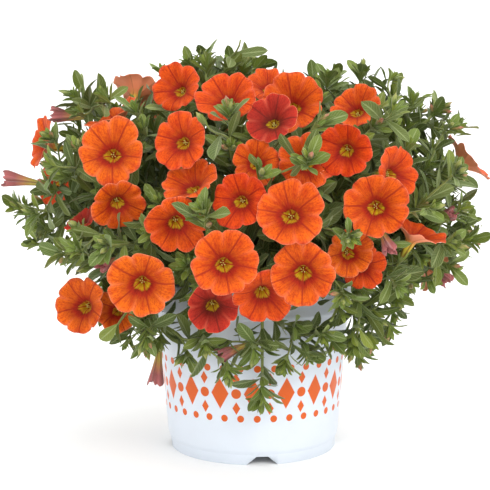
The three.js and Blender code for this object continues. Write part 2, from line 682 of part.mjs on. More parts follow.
// Places along the stems and their branches where a core may sit, each with spikes turned its own way.
function corePlaces() {
  return stems.flatMap((stem) => [stem, ...stem.branches].flatMap((carrier) => (
    (carrier === stem ? CORE.onStem : CORE.onBranch).map((t) => {
      const lots = Array.from({ length: 4 }, () => between(-1, 1));
      const turn = new THREE.Quaternion(...lots).normalize();
      const spikes = SPIKES.corners.map((corner) => corner.clone().applyQuaternion(turn));
      const reaches = spikes.map((_, i) => (
        CORE.reach * (1 - CORE.uneven * (i % 2) - between(0, CORE.loose))));
      return { node: stem.node, stem, middle: onStalk(carrier, t).place, spikes, reaches };
    }))));
}

// The largest cores that there is room for, those far out in the mound first.
function chooseCores() {
  const points = surfacePoints();
  const worth = ({ place, first }) => first.size ** 2 * moundShare(place.middle) ** CORE.outward;
  const tried = corePlaces().map((place) => ({ place, first: coreAt(place, points) }))
    .filter(({ place, first }) => first && first.size >= CORE.least && moundShare(place.middle) > CORE.outer)
    .sort((a, b) => worth(b) - worth(a));
  let count = 0;
  for (const { place: { stem, ...place } } of tried) {
    if (count >= CORE.limit) break;
    if (stem.cores.some((other) => other.middle.distanceTo(place.middle) < CORE.apart * other.size)) continue;
    const core = coreAt(place, points);
    if (!core || core.size < CORE.least) continue;
    stem.cores.push(core);
    count++;
    for (const face of SPIKES.faces) {
      const [u, v, w] = face.map((corner) => core.corners[corner]);
      const steps = Math.ceil(Math.max(u.distanceTo(v), v.distanceTo(w), w.distanceTo(u)) / CORE.sample);
      for (let i = 0; i <= steps; i++) {
        for (let j = 0; i + j <= steps; j++) {
          const point = vector(0, 0, 0).addScaledVector(u, i / steps).addScaledVector(v, j / steps);
          point.addScaledVector(w, (steps - i - j) / steps);
          points.push({ point, radius: 0.6, node: core.node });
        }
      }
    }
  }
}

// ---------------------------------------------------------------- flowers
function petalPoint(bloom, share, angle, edge, curl, back) {
  const [across, upward] = sideways(bloom.axis);
  const inner = FLOWER.throat * bloom.across;
  const reach = inner + (edge * bloom.across / 2 - inner) * share;
  const height = (petalHeight(share) - curl * share * share) * bloom.across - back;
  return ring(along(bloom.throat, bloom.axis, height), across, upward, reach, 1, angle)[0];
}

function corolla(bloom) {
  const [across, upward] = sideways(bloom.axis);
  const edges = [FLOWER.sinus, FLOWER.shoulder, FLOWER.notch, FLOWER.shoulder];
  const count = FLOWER.lobes * edges.length;
  const rim = (back) => Array.from({ length: count }, (_, i) => {
    const lobe = Math.floor(i / edges.length);
    const curl = i % edges.length === 0
      ? (bloom.curls[lobe] + bloom.curls[(lobe + FLOWER.lobes - 1) % FLOWER.lobes]) / 2
      : bloom.curls[lobe];
    return petalPoint(bloom, 1, bloom.roll + (i / count) * 2 * Math.PI, edges[i % edges.length], curl, back);
  });
  const throat = FLOWER.throat * bloom.across;
  const five = (height, radius) => ring(
    along(bloom.throat, bloom.axis, height), across, upward, radius, FLOWER.lobes, bloom.roll,
  );
  return skinned([
    [along(bloom.throat, bloom.axis, -FLOWER.throatDepth * bloom.across)],
    five(0, throat), rim(0), rim(FLOWER.blade), five(-1.2, throat + FLOWER.tubeWall), [bloom.tubeBase],
  ]);
}

function wilted(spent) {
  const [across, upward] = sideways(spent.axis);
  const rings = [[1.0, 1.6], [0.86, 4.6], [0.62, 5.2], [0.3, 2.6]].map(([share, radius], i) => {
    const middle = along(spent.tubeBase, spent.axis, share * spent.length);
    return ring(middle, across, upward, radius, FLOWER.lobes, 0.25 * (3 - i));
  });
  return skinned([[middleOf(rings[0])], ...rings, [spent.tubeBase]]);
}

// The green cup in which a flower's tube sits, drawn as rings from the bottom of its hollow outwards.
function calyxRings(flower) {
  const [across, upward] = sideways(flower.axis);
  const roll = flower.roll ?? 0;
  const length = flower.across ? FLOWER.tube * flower.across : 0.3 * flower.length;
  const wide = flower.across ? FLOWER.throat * flower.across + FLOWER.tubeWall : 2.6;
  const tubeAt = (wide * CALYX.depth) / length;
  const cup = (height, radius, sides = CALYX.sides) => ring(
    along(flower.tubeBase, flower.axis, height), across, upward, radius, sides, roll,
  );
  return [
    [along(flower.tubeBase, flower.axis, -CALYX.below)],
    cup(CALYX.depth, tubeAt + CALYX.slack),
    cup(CALYX.depth, tubeAt + CALYX.slack + CALYX.wall),
    cup(-CALYX.neck, CALYX.stalkRadius, TWIG.sides),
  ];
}

// ---------------------------------------------------------------- assembly
const openBlooms = [...OPEN_BLOOMS, ...backBloomRows()].map(bloomFrom);
const spentBlooms = SPENT_BLOOMS.map(spentFrom);
const stems = STEM_TIPS.map(stemFrom);
openBlooms.forEach((bloom) => branchTo(stems, bloom.calyxEnd, bloom.axis, bloom));
spentBlooms.forEach((spent) => branchTo(stems, spent.calyxEnd, spent.axis, spent));
SHOOT_TIPS.forEach((tip) => branchTo(stems, vector(...tip), moundNormal(vector(...tip)), null));

for (const stem of stems) {
  for (const carrier of [stem, ...stem.branches]) {
    for (let i = 0; i <= PROBE.perStem; i++) {
      take(onCurve(carrier.curve, i / PROBE.perStem), PROBE.stem, carrier);
    }
    if (carrier.flower) take(carrier.flower.tubeBase, PROBE.calyx, carrier);
  }
}
for (const spent of spentBlooms) {
  for (let i = 0; i <= PROBE.perSpent; i++) {
    take(along(spent.tubeBase, spent.axis, (spent.length * i) / PROBE.perSpent), PROBE.spent, spent);
  }
}
for (const stem of stems) {
  const carriers = [stem, ...stem.branches.filter((branch) => !branch.flower)];
  for (const carrier of carriers) tipLeaves(stem, carrier, openBlooms);
  leavesAlong(stem, stem, 0.35, SPACING.stem, openBlooms);
  for (const branch of stem.branches) leavesAlong(stem, branch, 0.2, SPACING.branch, openBlooms);
}

chooseCores();
chooseDents();
// A leaf that hardly stands out of a core is left out.
for (const stem of stems) {
  stem.leaves = stem.leaves.filter((leaf) => !stem.cores.some((core) => core.holds(onLeaf(leaf, 0.6, 0, 0))));
}

function stemSolid(stem) {
  const firstAcross = vector(0.3, 0.9, 0.2);
  const main = stalkRings(stem.curve, STEM.steps, STEM.sides, STEM.tipRadius, STEM.baseRadius, firstAcross);
  const foot = along(stem.curve[0], UP, -SOIL.holeDepth);
  const below = main.at(-1).map((point) => vector(point.x, point.y, foot.z));
  const parts = [skinned([[stem.curve[3]], ...main, below, [foot]])];
  for (const { curve, steps, flower } of stem.branches) {
    if (flower) {
      const [across] = sideways(flower.axis);
      const upward = flower.axis.clone().cross(across);
      const turned = ring(vector(0, 0, 0), across, upward, 1, 1, flower.roll ?? 0)[0];
      const stalk = stalkRings(curve, steps, TWIG.sides, CALYX.stalkRadius, TWIG.rootRadius, turned);
      parts.push(skinned([...calyxRings(flower), ...stalk.slice(1), [curve[0]]]));
    } else {
      const rings = stalkRings(curve, steps, TWIG.sides, TWIG.tipRadius, TWIG.rootRadius, firstAcross);
      parts.push(skinned([[curve[3]], ...rings, [curve[0]]]));
    }
  }
  stem.leaves.forEach((leaf) => parts.push(leafSolid(leaf)));
  stem.cores.forEach((core) => parts.push(coreSolid(core)));
  return wasm.Manifold.union(parts);
}

const plant = new THREE.Group();

function addPiece(name, solid, finish) {
  const bodies = solid.simplify(FINEST).decompose().sort((a, b) => b.volume() - a.volume());
  const mesh = new THREE.Mesh(geometryOf(bodies[0]), new THREE.MeshStandardMaterial(finish));
  mesh.name = name;
  plant.add(mesh);
}

const roots = stems.map(({ curve: [root] }) => root);
addPiece('pot', pot(), FINISH.whitePlastic);
addPiece('potting_soil', soil(roots), FINISH.pottingSoil);
stems.forEach((stem) => addPiece(stem.node, stemSolid(stem), FINISH.foliage));
for (const node of new Set(openBlooms.map((bloom) => bloom.node))) {
  const group = openBlooms.filter((bloom) => bloom.node === node).map(corolla);
  addPiece(node, wasm.Manifold.union(group), CRIMSON.includes(node) ? FINISH.redPetal : FINISH.orangePetal);
}
spentBlooms.forEach((spent) => addPiece(spent.node, wilted(spent), FINISH.mauvePetal));

// The origin is the middle of the footprint on the ground.
const middle = new THREE.Box3().setFromObject(plant).getCenter(new THREE.Vector3());
plant.position.set(-middle.x, -middle.y, 0);

export default plant;
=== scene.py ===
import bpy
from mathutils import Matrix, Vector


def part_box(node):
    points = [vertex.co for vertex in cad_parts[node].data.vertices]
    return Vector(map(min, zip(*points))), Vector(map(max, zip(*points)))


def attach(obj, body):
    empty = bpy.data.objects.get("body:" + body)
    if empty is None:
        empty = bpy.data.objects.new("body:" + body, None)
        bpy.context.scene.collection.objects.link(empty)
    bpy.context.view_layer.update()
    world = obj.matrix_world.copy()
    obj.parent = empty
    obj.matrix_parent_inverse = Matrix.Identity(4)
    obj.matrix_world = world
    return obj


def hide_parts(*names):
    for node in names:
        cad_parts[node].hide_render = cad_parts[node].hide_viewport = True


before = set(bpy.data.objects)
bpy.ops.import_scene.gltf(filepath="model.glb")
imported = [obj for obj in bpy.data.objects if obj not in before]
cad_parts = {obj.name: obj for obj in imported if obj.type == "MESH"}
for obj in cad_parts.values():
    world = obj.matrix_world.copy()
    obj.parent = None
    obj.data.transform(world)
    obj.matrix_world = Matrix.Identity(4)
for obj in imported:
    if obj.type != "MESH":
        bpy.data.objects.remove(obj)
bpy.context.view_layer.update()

import functools
import math
from types import SimpleNamespace

import bpy
import numpy as np

bl_info = {
    "name": "Calibrachoa in a nursery pot",
    "version": (1, 0, 0),
    "blender": (4, 5, 0),
    "location": "View3D > Sidebar > Potted plant",
    "description": "Builds a mound of calibrachoa in its moulded pot, piece by piece",
    "category": "Object",
}

# ---------------------------------------------------------------- sizes in mm, most of them the solids'
MM = 0.001
POT = dict(
    height=150, rim=89, rim_from=125, neck=87, waist=83.7, waist_at=85, heel=79, heel_at=27, foot=75.5,
    foot_height=9, wall=1.6, floor_at=8, floor_thick=1.8, notches=4, notch_wide=27, notch_top=10,
    notch_high=7, notch_turn=6, drain=6, drain_ring=48,
)
NOTCH_CORNERS = (3.7, 3.9, 10.1, 10.3)  # degrees from a notch's middle, where its top and its feet turn
DRAIN_SIDES = 24
# The soil's surface has rings out to its reach, and its block goes on down the pot's side and under.
SOIL = dict(
    top=137, domed=4, hole_depth=20, reach=85, rings=40, sides=120, crumbs=600,
    side_radii=(85, 82, 77, 72.5, 0.01), side_heights=(132, 85, 27, 10.2, 10.2),
)
MOUND = dict(reach_x=205, reach_y=190, up=165, down=112, middle=190)
OVAL = MOUND["reach_x"] / MOUND["reach_y"]
FLOWER = dict(lobes=5, rise=0.23, throat=0.085, tube=0.38)
CALYX = dict(neck=3.4, stalk=1.1, long=7.5)
STEM = dict(base=2.0, middle=1.7, tip=1.1, steps=6)
TWIG = dict(root=1.25, tip=0.9, stretch=36)
LEAF = dict(long=36, short=25, width=0.4, droop=0.12, sunk=0.3, tries=5, try_turn=1.1, lift=0.12)
SPACING = dict(stem=36, branch=42, tip_leaves=5, clear=1.1)
CELL = 8
PROBE = dict(leaf=1.4, stem=2.2, per_stem=24, calyx=3.4, spent=4.5, per_spent=6)
GOLDEN_ANGLE, GOLDEN_SHARE = 2.39996, 0.618034
AROUND = 6.28  # drawn angles lie between 0 and this
SEEDS = {"layout": 20711, "soil": 611, "foliage": 4177, "large leaves": 905, "blooms": 2291, "spent": 77}

# Open blooms: node, middle of the face x, y, z, width across, degrees round to the right, degrees up.
OPEN_BLOOMS = [
    ("bloom_01", -112, -120, 263, 53, -3, 10), ("bloom_01", -105, -121, 220, 42, 18, -24),
    ("bloom_02", -57, -140, 270, 45, -22, 3), ("bloom_03", -63, -88, 316, 42, -28, 14),
    ("bloom_04", -22, -112, 306, 48, -15, 30), ("bloom_05", -49, -143, 240, 46, -35, 42),
    ("bloom_06", -11, -164, 225, 42, -14, 0), ("bloom_06", 26, -173, 217, 51, -8, 14),
    ("bloom_07", 92, -150, 221, 50, -8, 3), ("bloom_07", 111, -137, 245, 44, 38, 0),
    ("bloom_08", 36, -168, 171, 50, -6, -8), ("bloom_09", -20, -176, 180, 50, 10, 5),
    ("bloom_10", -85, -150, 161, 51, 1, -8), ("bloom_11", -145, -80, 136, 49, -23, 5),
    ("bloom_11", -116, -74, 131, 38, -10, 0), ("bloom_12", -31, -144, 143, 40, 4, -12),
    ("bloom_08", 8, -155, 152, 46, 8, -28), ("bloom_05", -57, -151, 206, 46, 12, -20),
    ("bloom_13", 13, -140, 287, 40, -18, 22), ("bloom_14", 32, -95, 304, 52, -3, 22),
    ("bloom_15", 13, -68, 322, 40, 0, 45), ("bloom_16", 82, -95, 300, 42, -20, 30),
    ("bloom_17", 68, -148, 262, 42, -20, -10), ("bloom_17", 40, -146, 254, 44, 0, 5),
    ("bloom_17", 2, -144, 254, 36, 0, 10), ("bloom_18", -190, -20, 274, 50, -60, 12),
    ("bloom_18", -182, -14, 238, 48, -50, -5), ("bloom_19", -118, -68, 296, 50, -60, 55),
    ("bloom_20", -105, 8, 325, 44, 160, 50), ("bloom_21", 194, -12, 262, 52, 78, 40),
    ("bloom_22", 75, -134, 184, 38, 10, 0), ("bloom_22", 88, -122, 171, 36, 20, -15),
    ("bloom_23", 130, -112, 202, 48, 50, 60), ("bloom_24", -140, -98, 209, 30, -45, 45),
]
# The blooms of the crimson slot; the first of them is new and still orange.
CRIMSON = ("bloom_03", "bloom_12", "bloom_13", "bloom_24")
# How red each open bloom is, 0 to 1, in the order above; the back blooms take drawn values.
REDNESS = [
    0.1, 0.2, 0.5, 0.5, 0.5, 0.3, 0.7, 0.3, 0.25, 0.5, 0.22, 0.3, 0.0, 0.1, 0.0, 0.3, 0.5,
    0.4, 0.4, 0.25, 0.4, 0.3, 0.7, 0.35, 0.25, 0.4, 0.6, 0.3, 0.2, 0.35, 0.0, 0.55, 0.5, 0.4,
]
# Open blooms whose faces nothing hangs in front of.
CLEAR_FACES = (0, 1, 2, 3, 4, 5, 6, 7, 8, 9, 10, 11, 12, 13, 15, 16, 18, 19)
BACK_BLOOMS = dict(count=12, first=25, from_angle=14, to_angle=166, low=150, high=315, across=46)
SPENT_BLOOMS = [
    ("spent_bloom_01", -176, -32, 298, 34, -85, 4), ("spent_bloom_02", -210, -62, 243, 34, -75, 10),
    ("spent_bloom_03", -82, -76, 70, 33, -40, -80), ("spent_bloom_04", -122, -112, 172, 26, -45, -15),
    ("spent_bloom_05", -27, -116, 100, 28, -70, -20), ("spent_bloom_06", 104, -146, 186, 24, 25, -50),
    ("spent_bloom_07", 170, -42, 152, 30, 60, -45), ("spent_bloom_08", 168, -72, 213, 26, 55, 15),
]
STEM_TIPS = [
    (-44, -5, 352), (74, 10, 336), (160, -25, 300), (196, -15, 187), (7, -104, 62), (84, -85, 104),
    (-212, -10, 217), (-155, -5, 322), (-90, -80, 103), (-125, 115, 285), (120, 120, 280), (0, 185, 190),
    (-18, -128, 264),
]
SHOOT_TIPS = [
    (125, -10, 315), (157, -77, 248), (-155, -95, 180), (-112, -138, 190), (45, -105, 100), (-55, -100, 99),
    (-152, -89, 244), (102, -96, 300), (48, -138, 284), (-36, -162, 205), (-111, -92, 122), (158, -92, 188),
    (168, -62, 168), (60, 60, 335), (-60, 80, 325), (190, 60, 240), (-190, 70, 230), (40, 172, 245),
    (-90, 150, 190), (130, 130, 150), (-130, 120, 140), (5, 125, 300), (0, 15, 345),
]
# Leafy twigs that stand out of the mound, some of them in front of a bloom, each entry the tip of one.
OUTER_TWIGS = [
    (-18, -138, 292), (-3, -140, 272), (-37, -172, 218), (40, -168, 254), (6, -162, 243), (72, -160, 198),
    (69, -135, 151), (109, -95, 169), (65, -35, 329), (96, -20, 336), (118, -50, 303), (96, -115, 284),
    (50, -140, 275), (164, -25, 303), (179, -30, 288), (167, -45, 251), (145, -75, 219), (187, -20, 188),
    (-156, -30, 315), (-125, -60, 311), (-162, -60, 248), (-208, -15, 214), (-184, -30, 199),
    (-149, -75, 182),
    (-41, -50, 340), (-22, -40, 340), (-90, -95, 282), (-73, -120, 221), (-77, -140, 201), (-112, -115, 195),
    (-51, -135, 175), (-85, -115, 115), (-38, -120, 110), (1, -128, 106), (7, -118, 70), (46, -105, 102),
    (81, -90, 108), (55, -115, 117), (103, -70, 125), (100, -70, 106), (121, -60, 139), (142, -60, 175),
    (130, -70, 155), (18, -20, 318), (-70, -40, 331), (150, -60, 200), (-20, -125, 90), (25, -120, 95),
    (-56, -30, 343), (-8, -30, 338), (-20, 15, 348), (-60, 55, 335), (-15, 60, 342), (25, 45, 330),
    (60, 40, 332), (-100, 50, 322), (0, 95, 328), (45, 90, 322), (-45, 110, 320), (100, 80, 315),
    (10, 28, 334), (-2, 45, 338), (28, 15, 326), (-4, 8, 330),
]
# Half the mound's width at heights, which the fine foliage fills.
MOUND_HEIGHTS = (80, 92, 104, 118, 135, 152, 170, 190, 212, 245, 271, 298, 322, 340, 352, 360)
MOUND_REACHES = (88, 106, 124, 142, 152, 166, 182, 200, 208, 208, 196, 178, 146, 112, 78, 40)
TRAILING = 125  # the height below which stems hang free of the mound
FACE_ROOM = 45  # how far in front of a bloom's face no leaf stands
YOUNG_FROM = 0.55  # the share of a twig beyond which its leaves are young
EVEN_STEPS = (0.7548777, 0.5698403)  # steps that spread places evenly in two directions

# A blade's rows from its root to its tip, its columns across, and what brings its outline's widest row to 1.
BLADE_ALONG = np.array([0, 0.12, 0.3, 0.5, 0.68, 0.83, 0.94, 1.0])
BLADE_ACROSS = np.array([-1, -0.5, 0, 0.5, 1.0])
BLADE_WIDEST = 0.627
LEAF_FINISH, STEM_FINISH, BUD_FINISH = 0, 1, 2  # places in a leafy stem's list of materials
BUD_PROFILE = np.array([0.45, 0.75, 0.9, 1, 1.02, 0.8, 0.35, 0.02])
# A bloom's points round it, fourteen to a lobe, and as shares of its width: the dip in the middle of a lobe
# and in a seam, how much the lobes differ in reach and in lean, and how deep middles and seams are folded.
PETAL = dict(columns=70, notch=0.03, seam=0.16, uneven=0.045, flare=0.028, fold=0.035)
# Rings of a bloom: shares of the way from the throat to the rim, then inside the throat and down the tube,
# each with its depth and girth as shares of the bloom's width and its mark from middle to rim.
LIMB = (0, 0.03, 0.07, 0.13, 0.2, 0.29, 0.39, 0.5, 0.61, 0.72, 0.82, 0.9, 0.96, 1.0)
THROAT = ((0.09, 0.004, 0.0), (0.085, 0.045, 0.07), (0.06, 0.064, 0.14), (0.025, 0.077, 0.2))
TUBE = ((0.05, 0.078, 0.2), (0.12, 0.066, 0.15), (0.22, 0.05, 0.08), (0.36, 0.036, 0.0))
SAC_PROFILE = (0.26, 0.26, 0.52, 0.58, 0.38, 0.02)
# The limp limb of a spent bloom is half rolled up: it flares to a crumpled mouth and turns back into it.
SPENT_ALONG = (0, 0.12, 0.25, 0.38, 0.5, 0.61, 0.71, 0.8, 0.88, 0.94, 0.98, 1.0, 0.97, 0.88, 0.74, 0.6)
SPENT_PROFILE = np.array([1.3, 1.6, 2.0, 2.5, 3.0, 3.6, 4.2, 4.8, 5.3, 5.7, 5.9, 5.7, 5.1, 3.9, 2.2, 0.2])

# Where the camera stands from the pot's axis, its lens and sensor, and the degrees it looks down and left.
EYE = np.array([-1.5, -842.1, 234.4])
CAMERA = dict(lens=67.7, sensor=36, down=3.564, left=0.395)
BACKDROP = dict(near=-3.0, far=2.2, bend=1.2, top=4.0, half_width=5.0)  # in metres
low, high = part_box("pot")
POT_AXIS = np.array([(low.x + high.x) / 2, (low.y + high.y) / 2, 0.0])
UP = np.array([0.0, 0.0, 1.0])


def linear(colour):
    """Turns an sRGB hex colour into the linear red, green, blue and alpha that Blender works in."""
    parts = [int(colour[i:i + 2], 16) / 255 for i in (1, 3, 5)]
    return tuple(c / 12.92 if c <= 0.04045 else ((c + 0.055) / 1.055) ** 2.4 for c in parts) + (1.0,)


# ---------------------------------------------------------------- settings that a user may change
def colour_setting(name, description, default):
    """A colour setting."""
    return bpy.props.FloatVectorProperty(
        name=name, description=description, default=linear(default), size=4, subtype="COLOR", min=0, max=1)


def length_setting(name, description, default):
    """A length setting, in metres."""
    return bpy.props.FloatProperty(name=name, description=description, default=default, unit="LENGTH")


def power_setting(name, description, default):
    """A lamp's power setting, in watts."""
    return bpy.props.FloatProperty(name=name, description=description, default=default, unit="POWER")


class PotSettings(bpy.types.PropertyGroup):
    """The moulded pot and its print"""
    plastic: colour_setting("Plastic", "Colour of the moulded pot", "#dce4ee")
    ink: colour_setting("Print", "Colour of the printed band", "#d85a00")
    print_height: length_setting("Print height", "Height of the middle of the printed band", 0.062)
    diamond: length_setting("Diamond", "Height of a printed diamond", 0.027)


class FlowerSettings(bpy.types.PropertyGroup):
    """Open and spent blooms"""
    petal: colour_setting("Petal", "Colour of a petal halfway out", "#e06c0e")
    petal_edge: colour_setting("Petal edge", "Colour of a petal near its rim", "#e6733e")
    petal_heart: colour_setting("Petal heart", "Colour of a petal close to the throat", "#a52a12")
    throat: colour_setting("Throat", "Colour inside the mouth of the tube", "#c6b81c")
    crimson: colour_setting("Crimson", "Colour of the dark red blooms", "#c03a2c")
    spent: colour_setting("Spent bloom", "Colour of a withered bloom", "#a65f5e")
    petal_thickness: length_setting("Petal thickness", "Thickness of a petal", 0.0004)


class FoliageSettings(bpy.types.PropertyGroup):
    """Stems, twigs and leaves"""
    leaf: colour_setting("Leaf", "Colour of a grown leaf", "#6f7c46")
    young_leaf: colour_setting("Young leaf", "Colour of the leaves at the shoot tips", "#98a94e")
    stem: colour_setting("Stem", "Colour of the stems", "#7f8a45")
    leaf_length: length_setting("Leaf length", "Length of a grown leaf", 0.029)
    twigs: bpy.props.IntProperty(
        name="Twigs", description="Number of side twigs that fill the mound", default=560, min=0, max=900)


class StageSettings(bpy.types.PropertyGroup):
    """Floor and light"""
    floor: colour_setting("Floor", "Colour of the floor and backdrop", "#fbfbfb")
    key: power_setting("Key light", "Power of the main lamp", 9)
    backdrop: power_setting("Backdrop light", "Power of each lamp on the backdrop", 12)
    sky: bpy.props.FloatProperty(
        name="Surround", description="Strength of the even light from all sides", default=1.0,
        subtype="FACTOR")


class PottedPlantSettings(bpy.types.PropertyGroup):
    """All settings of the potted plant"""
    pot: bpy.props.PointerProperty(type=PotSettings)
    flower: bpy.props.PointerProperty(type=FlowerSettings)
    foliage: bpy.props.PointerProperty(type=FoliageSettings)
    stage: bpy.props.PointerProperty(type=StageSettings)


# ---------------------------------------------------------------- vectors and curves
def unit(v):
    """Vectors brought to a length of one."""
    return v / np.linalg.norm(v, axis=-1, keepdims=True)


def facing(round_, up):
    """The way that a bloom faces, from degrees round to the right of the front and degrees up."""
    a, b = math.radians(round_), math.radians(up)
    return np.array([math.sin(a) * math.cos(b), -math.cos(a) * math.cos(b), math.sin(b)])


def sideways(axis):
    """Two directions square to an axis: the first level, the second upward."""
    level = np.cross(UP, axis)
    if np.linalg.norm(level) < 1e-6:
        level = np.array([1.0, 0.0, 0.0])
    level = unit(level)
    return level, np.cross(axis, level)


def on_curve(curve, t):
    """Points of a Bezier curve of four points, for one t or an array of them."""
    t = np.asarray(t, float)[..., None]
    s = 1 - t
    return s**3 * curve[0] + 3 * s * s * t * curve[1] + 3 * s * t * t * curve[2] + t**3 * curve[3]


def curve_direction(curve, t):
    """The way that a Bezier curve runs at t."""
    t = np.clip(t, 0.01, 0.99)
    return unit(on_curve(curve, t + 0.01) - on_curve(curve, t - 0.01))


def along_and_off(offset, axis):
    """How far points lie along an axis, and how far off it."""
    height = np.einsum("...k,...k->...", offset, axis)
    return height, np.linalg.norm(offset - height[..., None] * axis, axis=-1)


def on_stalk(stalk, t):
    """The place and direction at t along the straight stretches that the solid's stalk is made of."""
    stretch = min(math.floor(t * stalk.steps), stalk.steps - 1)
    start = on_curve(stalk.curve, stretch / stalk.steps)
    run = on_curve(stalk.curve, (stretch + 1) / stalk.steps) - start
    return start + run * (t * stalk.steps - stretch), unit(run)


def mound_normal(p):
    """The outward direction of the mound at points on it."""
    p = np.asarray(p, float)
    tall = np.where(p[..., 2] > MOUND["middle"], MOUND["up"], MOUND["down"])
    return unit(np.stack([
        p[..., 0] / MOUND["reach_x"] ** 2, p[..., 1] / MOUND["reach_y"] ** 2,
        (p[..., 2] - MOUND["middle"]) / tall**2], axis=-1))


class Lots:
    """Draws the same lots as the solids' layout does."""

    def __init__(self, state):
        self.state = state

    def draw(self):
        self.state = (self.state + 0x6D2B79F5) & 0xFFFFFFFF
        t = ((self.state ^ (self.state >> 15)) * (1 | self.state)) & 0xFFFFFFFF
        t = ((t + (((t ^ (t >> 7)) * (61 | t)) & 0xFFFFFFFF)) & 0xFFFFFFFF) ^ t
        return (t ^ (t >> 14)) / 4294967296

    def between(self, least, most):
        return least + (most - least) * self.draw()


# ---------------------------------------------------------------- the layout that the solids follow
def bloom_from(row, lots):
    """An open bloom's axis, throat, roll and tube, from its row and the next lots."""
    node, x, y, z, across, round_, up = row
    axis = facing(round_, up)
    throat = np.array([x, y, z], float) - axis * FLOWER["rise"] * across
    roll = lots.between(0, 2 * math.pi / FLOWER["lobes"])
    curls = [lots.between(-0.05, 0.07) for _ in range(FLOWER["lobes"])]
    tube_base = throat - axis * FLOWER["tube"] * across
    return SimpleNamespace(
        node=node, axis=axis, across=across, throat=throat, roll=roll, curls=curls, tube_base=tube_base,
        calyx_end=tube_base - axis * CALYX["neck"])


def back_bloom_rows(lots):
    """Rows for the blooms of the back, which lie on a spiral."""
    rows = []
    for i in range(BACK_BLOOMS["count"]):
        sweep = BACK_BLOOMS["to_angle"] - BACK_BLOOMS["from_angle"]
        angle = math.radians(BACK_BLOOMS["from_angle"] + sweep * ((i * GOLDEN_SHARE) % 1))
        z = BACK_BLOOMS["low"] + (BACK_BLOOMS["high"] - BACK_BLOOMS["low"]) * (i + 0.5) / BACK_BLOOMS["count"]
        tall = MOUND["up"] if z > MOUND["middle"] else MOUND["down"]
        reach = 0.93 * math.sqrt(1 - ((z - MOUND["middle"]) / tall) ** 2)
        place = (math.cos(angle) * MOUND["reach_x"] * reach, math.sin(angle) * MOUND["reach_y"] * reach, z)
        normal = mound_normal(place)
        round_ = math.degrees(math.atan2(normal[0], -normal[1])) + lots.between(-12, 12)
        up = math.degrees(math.asin(normal[2])) + lots.between(-8, 12)
        across = BACK_BLOOMS["across"] + lots.between(-5, 5)
        rows.append((f"bloom_{BACK_BLOOMS['first'] + i}", *place, across, round_, up))
    return rows


def spent_from(row):
    """A spent bloom's axis and tube, from its row."""
    node, x, y, z, length, round_, up = row
    axis = facing(round_, up)
    mouth = np.array([x, y, z], float)
    tube_base = mouth - axis * length
    return SimpleNamespace(
        node=node, axis=axis, length=length, tube_base=tube_base, calyx_end=tube_base - axis * CALYX["neck"])


def stem_from(tip, i, lots):
    """A leafy stem from the soil to its tip."""
    end = np.array(tip, float)
    out = unit(np.array([end[0], end[1], 0]))
    angle = math.atan2(end[1], end[0]) + lots.between(-0.1, 0.1)
    radius = 18 + 0.17 * math.hypot(end[0], end[1]) - 14 * (i % 2)
    root = np.array([math.cos(angle) * radius, math.sin(angle) * radius, SOIL["top"] + SOIL["domed"]])
    trails = end[2] < POT["height"]  # a stem that hangs down outside the pot
    span = np.linalg.norm(end - root)
    first = root + UP * (100 if trails else 0.4 * span)
    if trails:
        second = np.array([end[0], end[1], MOUND["middle"]]) + out * 30
    else:
        second = end - mound_normal(end) * 0.32 * span
    return SimpleNamespace(
        node=f"leafy_stem_{i + 1:02d}", curve=np.array([root, first, second, end]), steps=STEM["steps"],
        branches=[], leaves=[], flower=None)


def branch_to(stems, end, axis, flower):
    """Forks a branch off the stem from which it reaches its end best."""
    aim = end - axis * 20
    best = None
    for stem in stems:
        t = 0.3
        while t < 0.93:
            place, direction = on_stalk(stem, t)
            reach = aim - place
            cost = math.sqrt(reach @ reach) - 0.45 * (reach @ direction)
            if best is None or cost < best[0]:
                best = (cost, stem, t, place, direction)
            t += 0.05
    _, stem, t, fork, direction = best
    span = np.linalg.norm(end - fork)
    steps = min(max(math.floor(span / TWIG["stretch"] + 0.5), 2), 3)
    curve = np.array([fork, fork + direction * 0.3 * span, end - axis * 0.38 * span, end])
    stem.branches.append(SimpleNamespace(
        curve=curve, steps=steps, flower=flower, root=on_curve(stem.curve, t)))


def petal_height(share):
    """How high a petal stands over the throat at a share of its reach, in shares of the bloom's width."""
    return FLOWER["rise"] * (1 - (1 - share) ** 1.8)


def clear_of_blooms(points, blooms):
    """Which points keep clear of every bloom's petals and tube."""
    height, reach = along_and_off(points[:, None, :] - blooms.throat, blooms.axis)
    radius, across = blooms.across / 2, blooms.across
    inner = FLOWER["throat"] * across
    share = np.clip((reach - inner) / (radius - inner), 0, 1)
    petal = petal_height(share) * across
    clear = np.where(height < -1, reach > 7, np.abs(height - petal) > 2.6 + 0.08 * across * share)
    clear |= (reach > radius + 2) | (height < -FLOWER["tube"] * across - 3)
    return clear.all(axis=1)


def clear_of_pot(p):
    """Which points keep clear of the pot's wall and of the soil."""
    reach = np.hypot(p[..., 0], p[..., 1])
    inside = (reach < POT["neck"] - 6) & (p[..., 2] > SOIL["top"] + SOIL["domed"] + 3)
    return (p[..., 2] > POT["height"] + 2) | (reach > POT["rim"] + 2.5) | inside


def leaf_probes(base, direction, normal, length):
    """Fifteen points over a large leaf, in rows of three."""
    half = 0.8 * LEAF["width"] * length / 2
    side = np.cross(direction, normal)
    points = []
    for share in (0.3, 0.5, 0.7, 0.88, 1.04):
        middle = base + direction * length * share - normal * LEAF["droop"] * length * share * share
        points += [middle + side * aside * half * min(1, 2.4 - 2 * share) for aside in (-1, 0, 1)]
    return np.array(points)


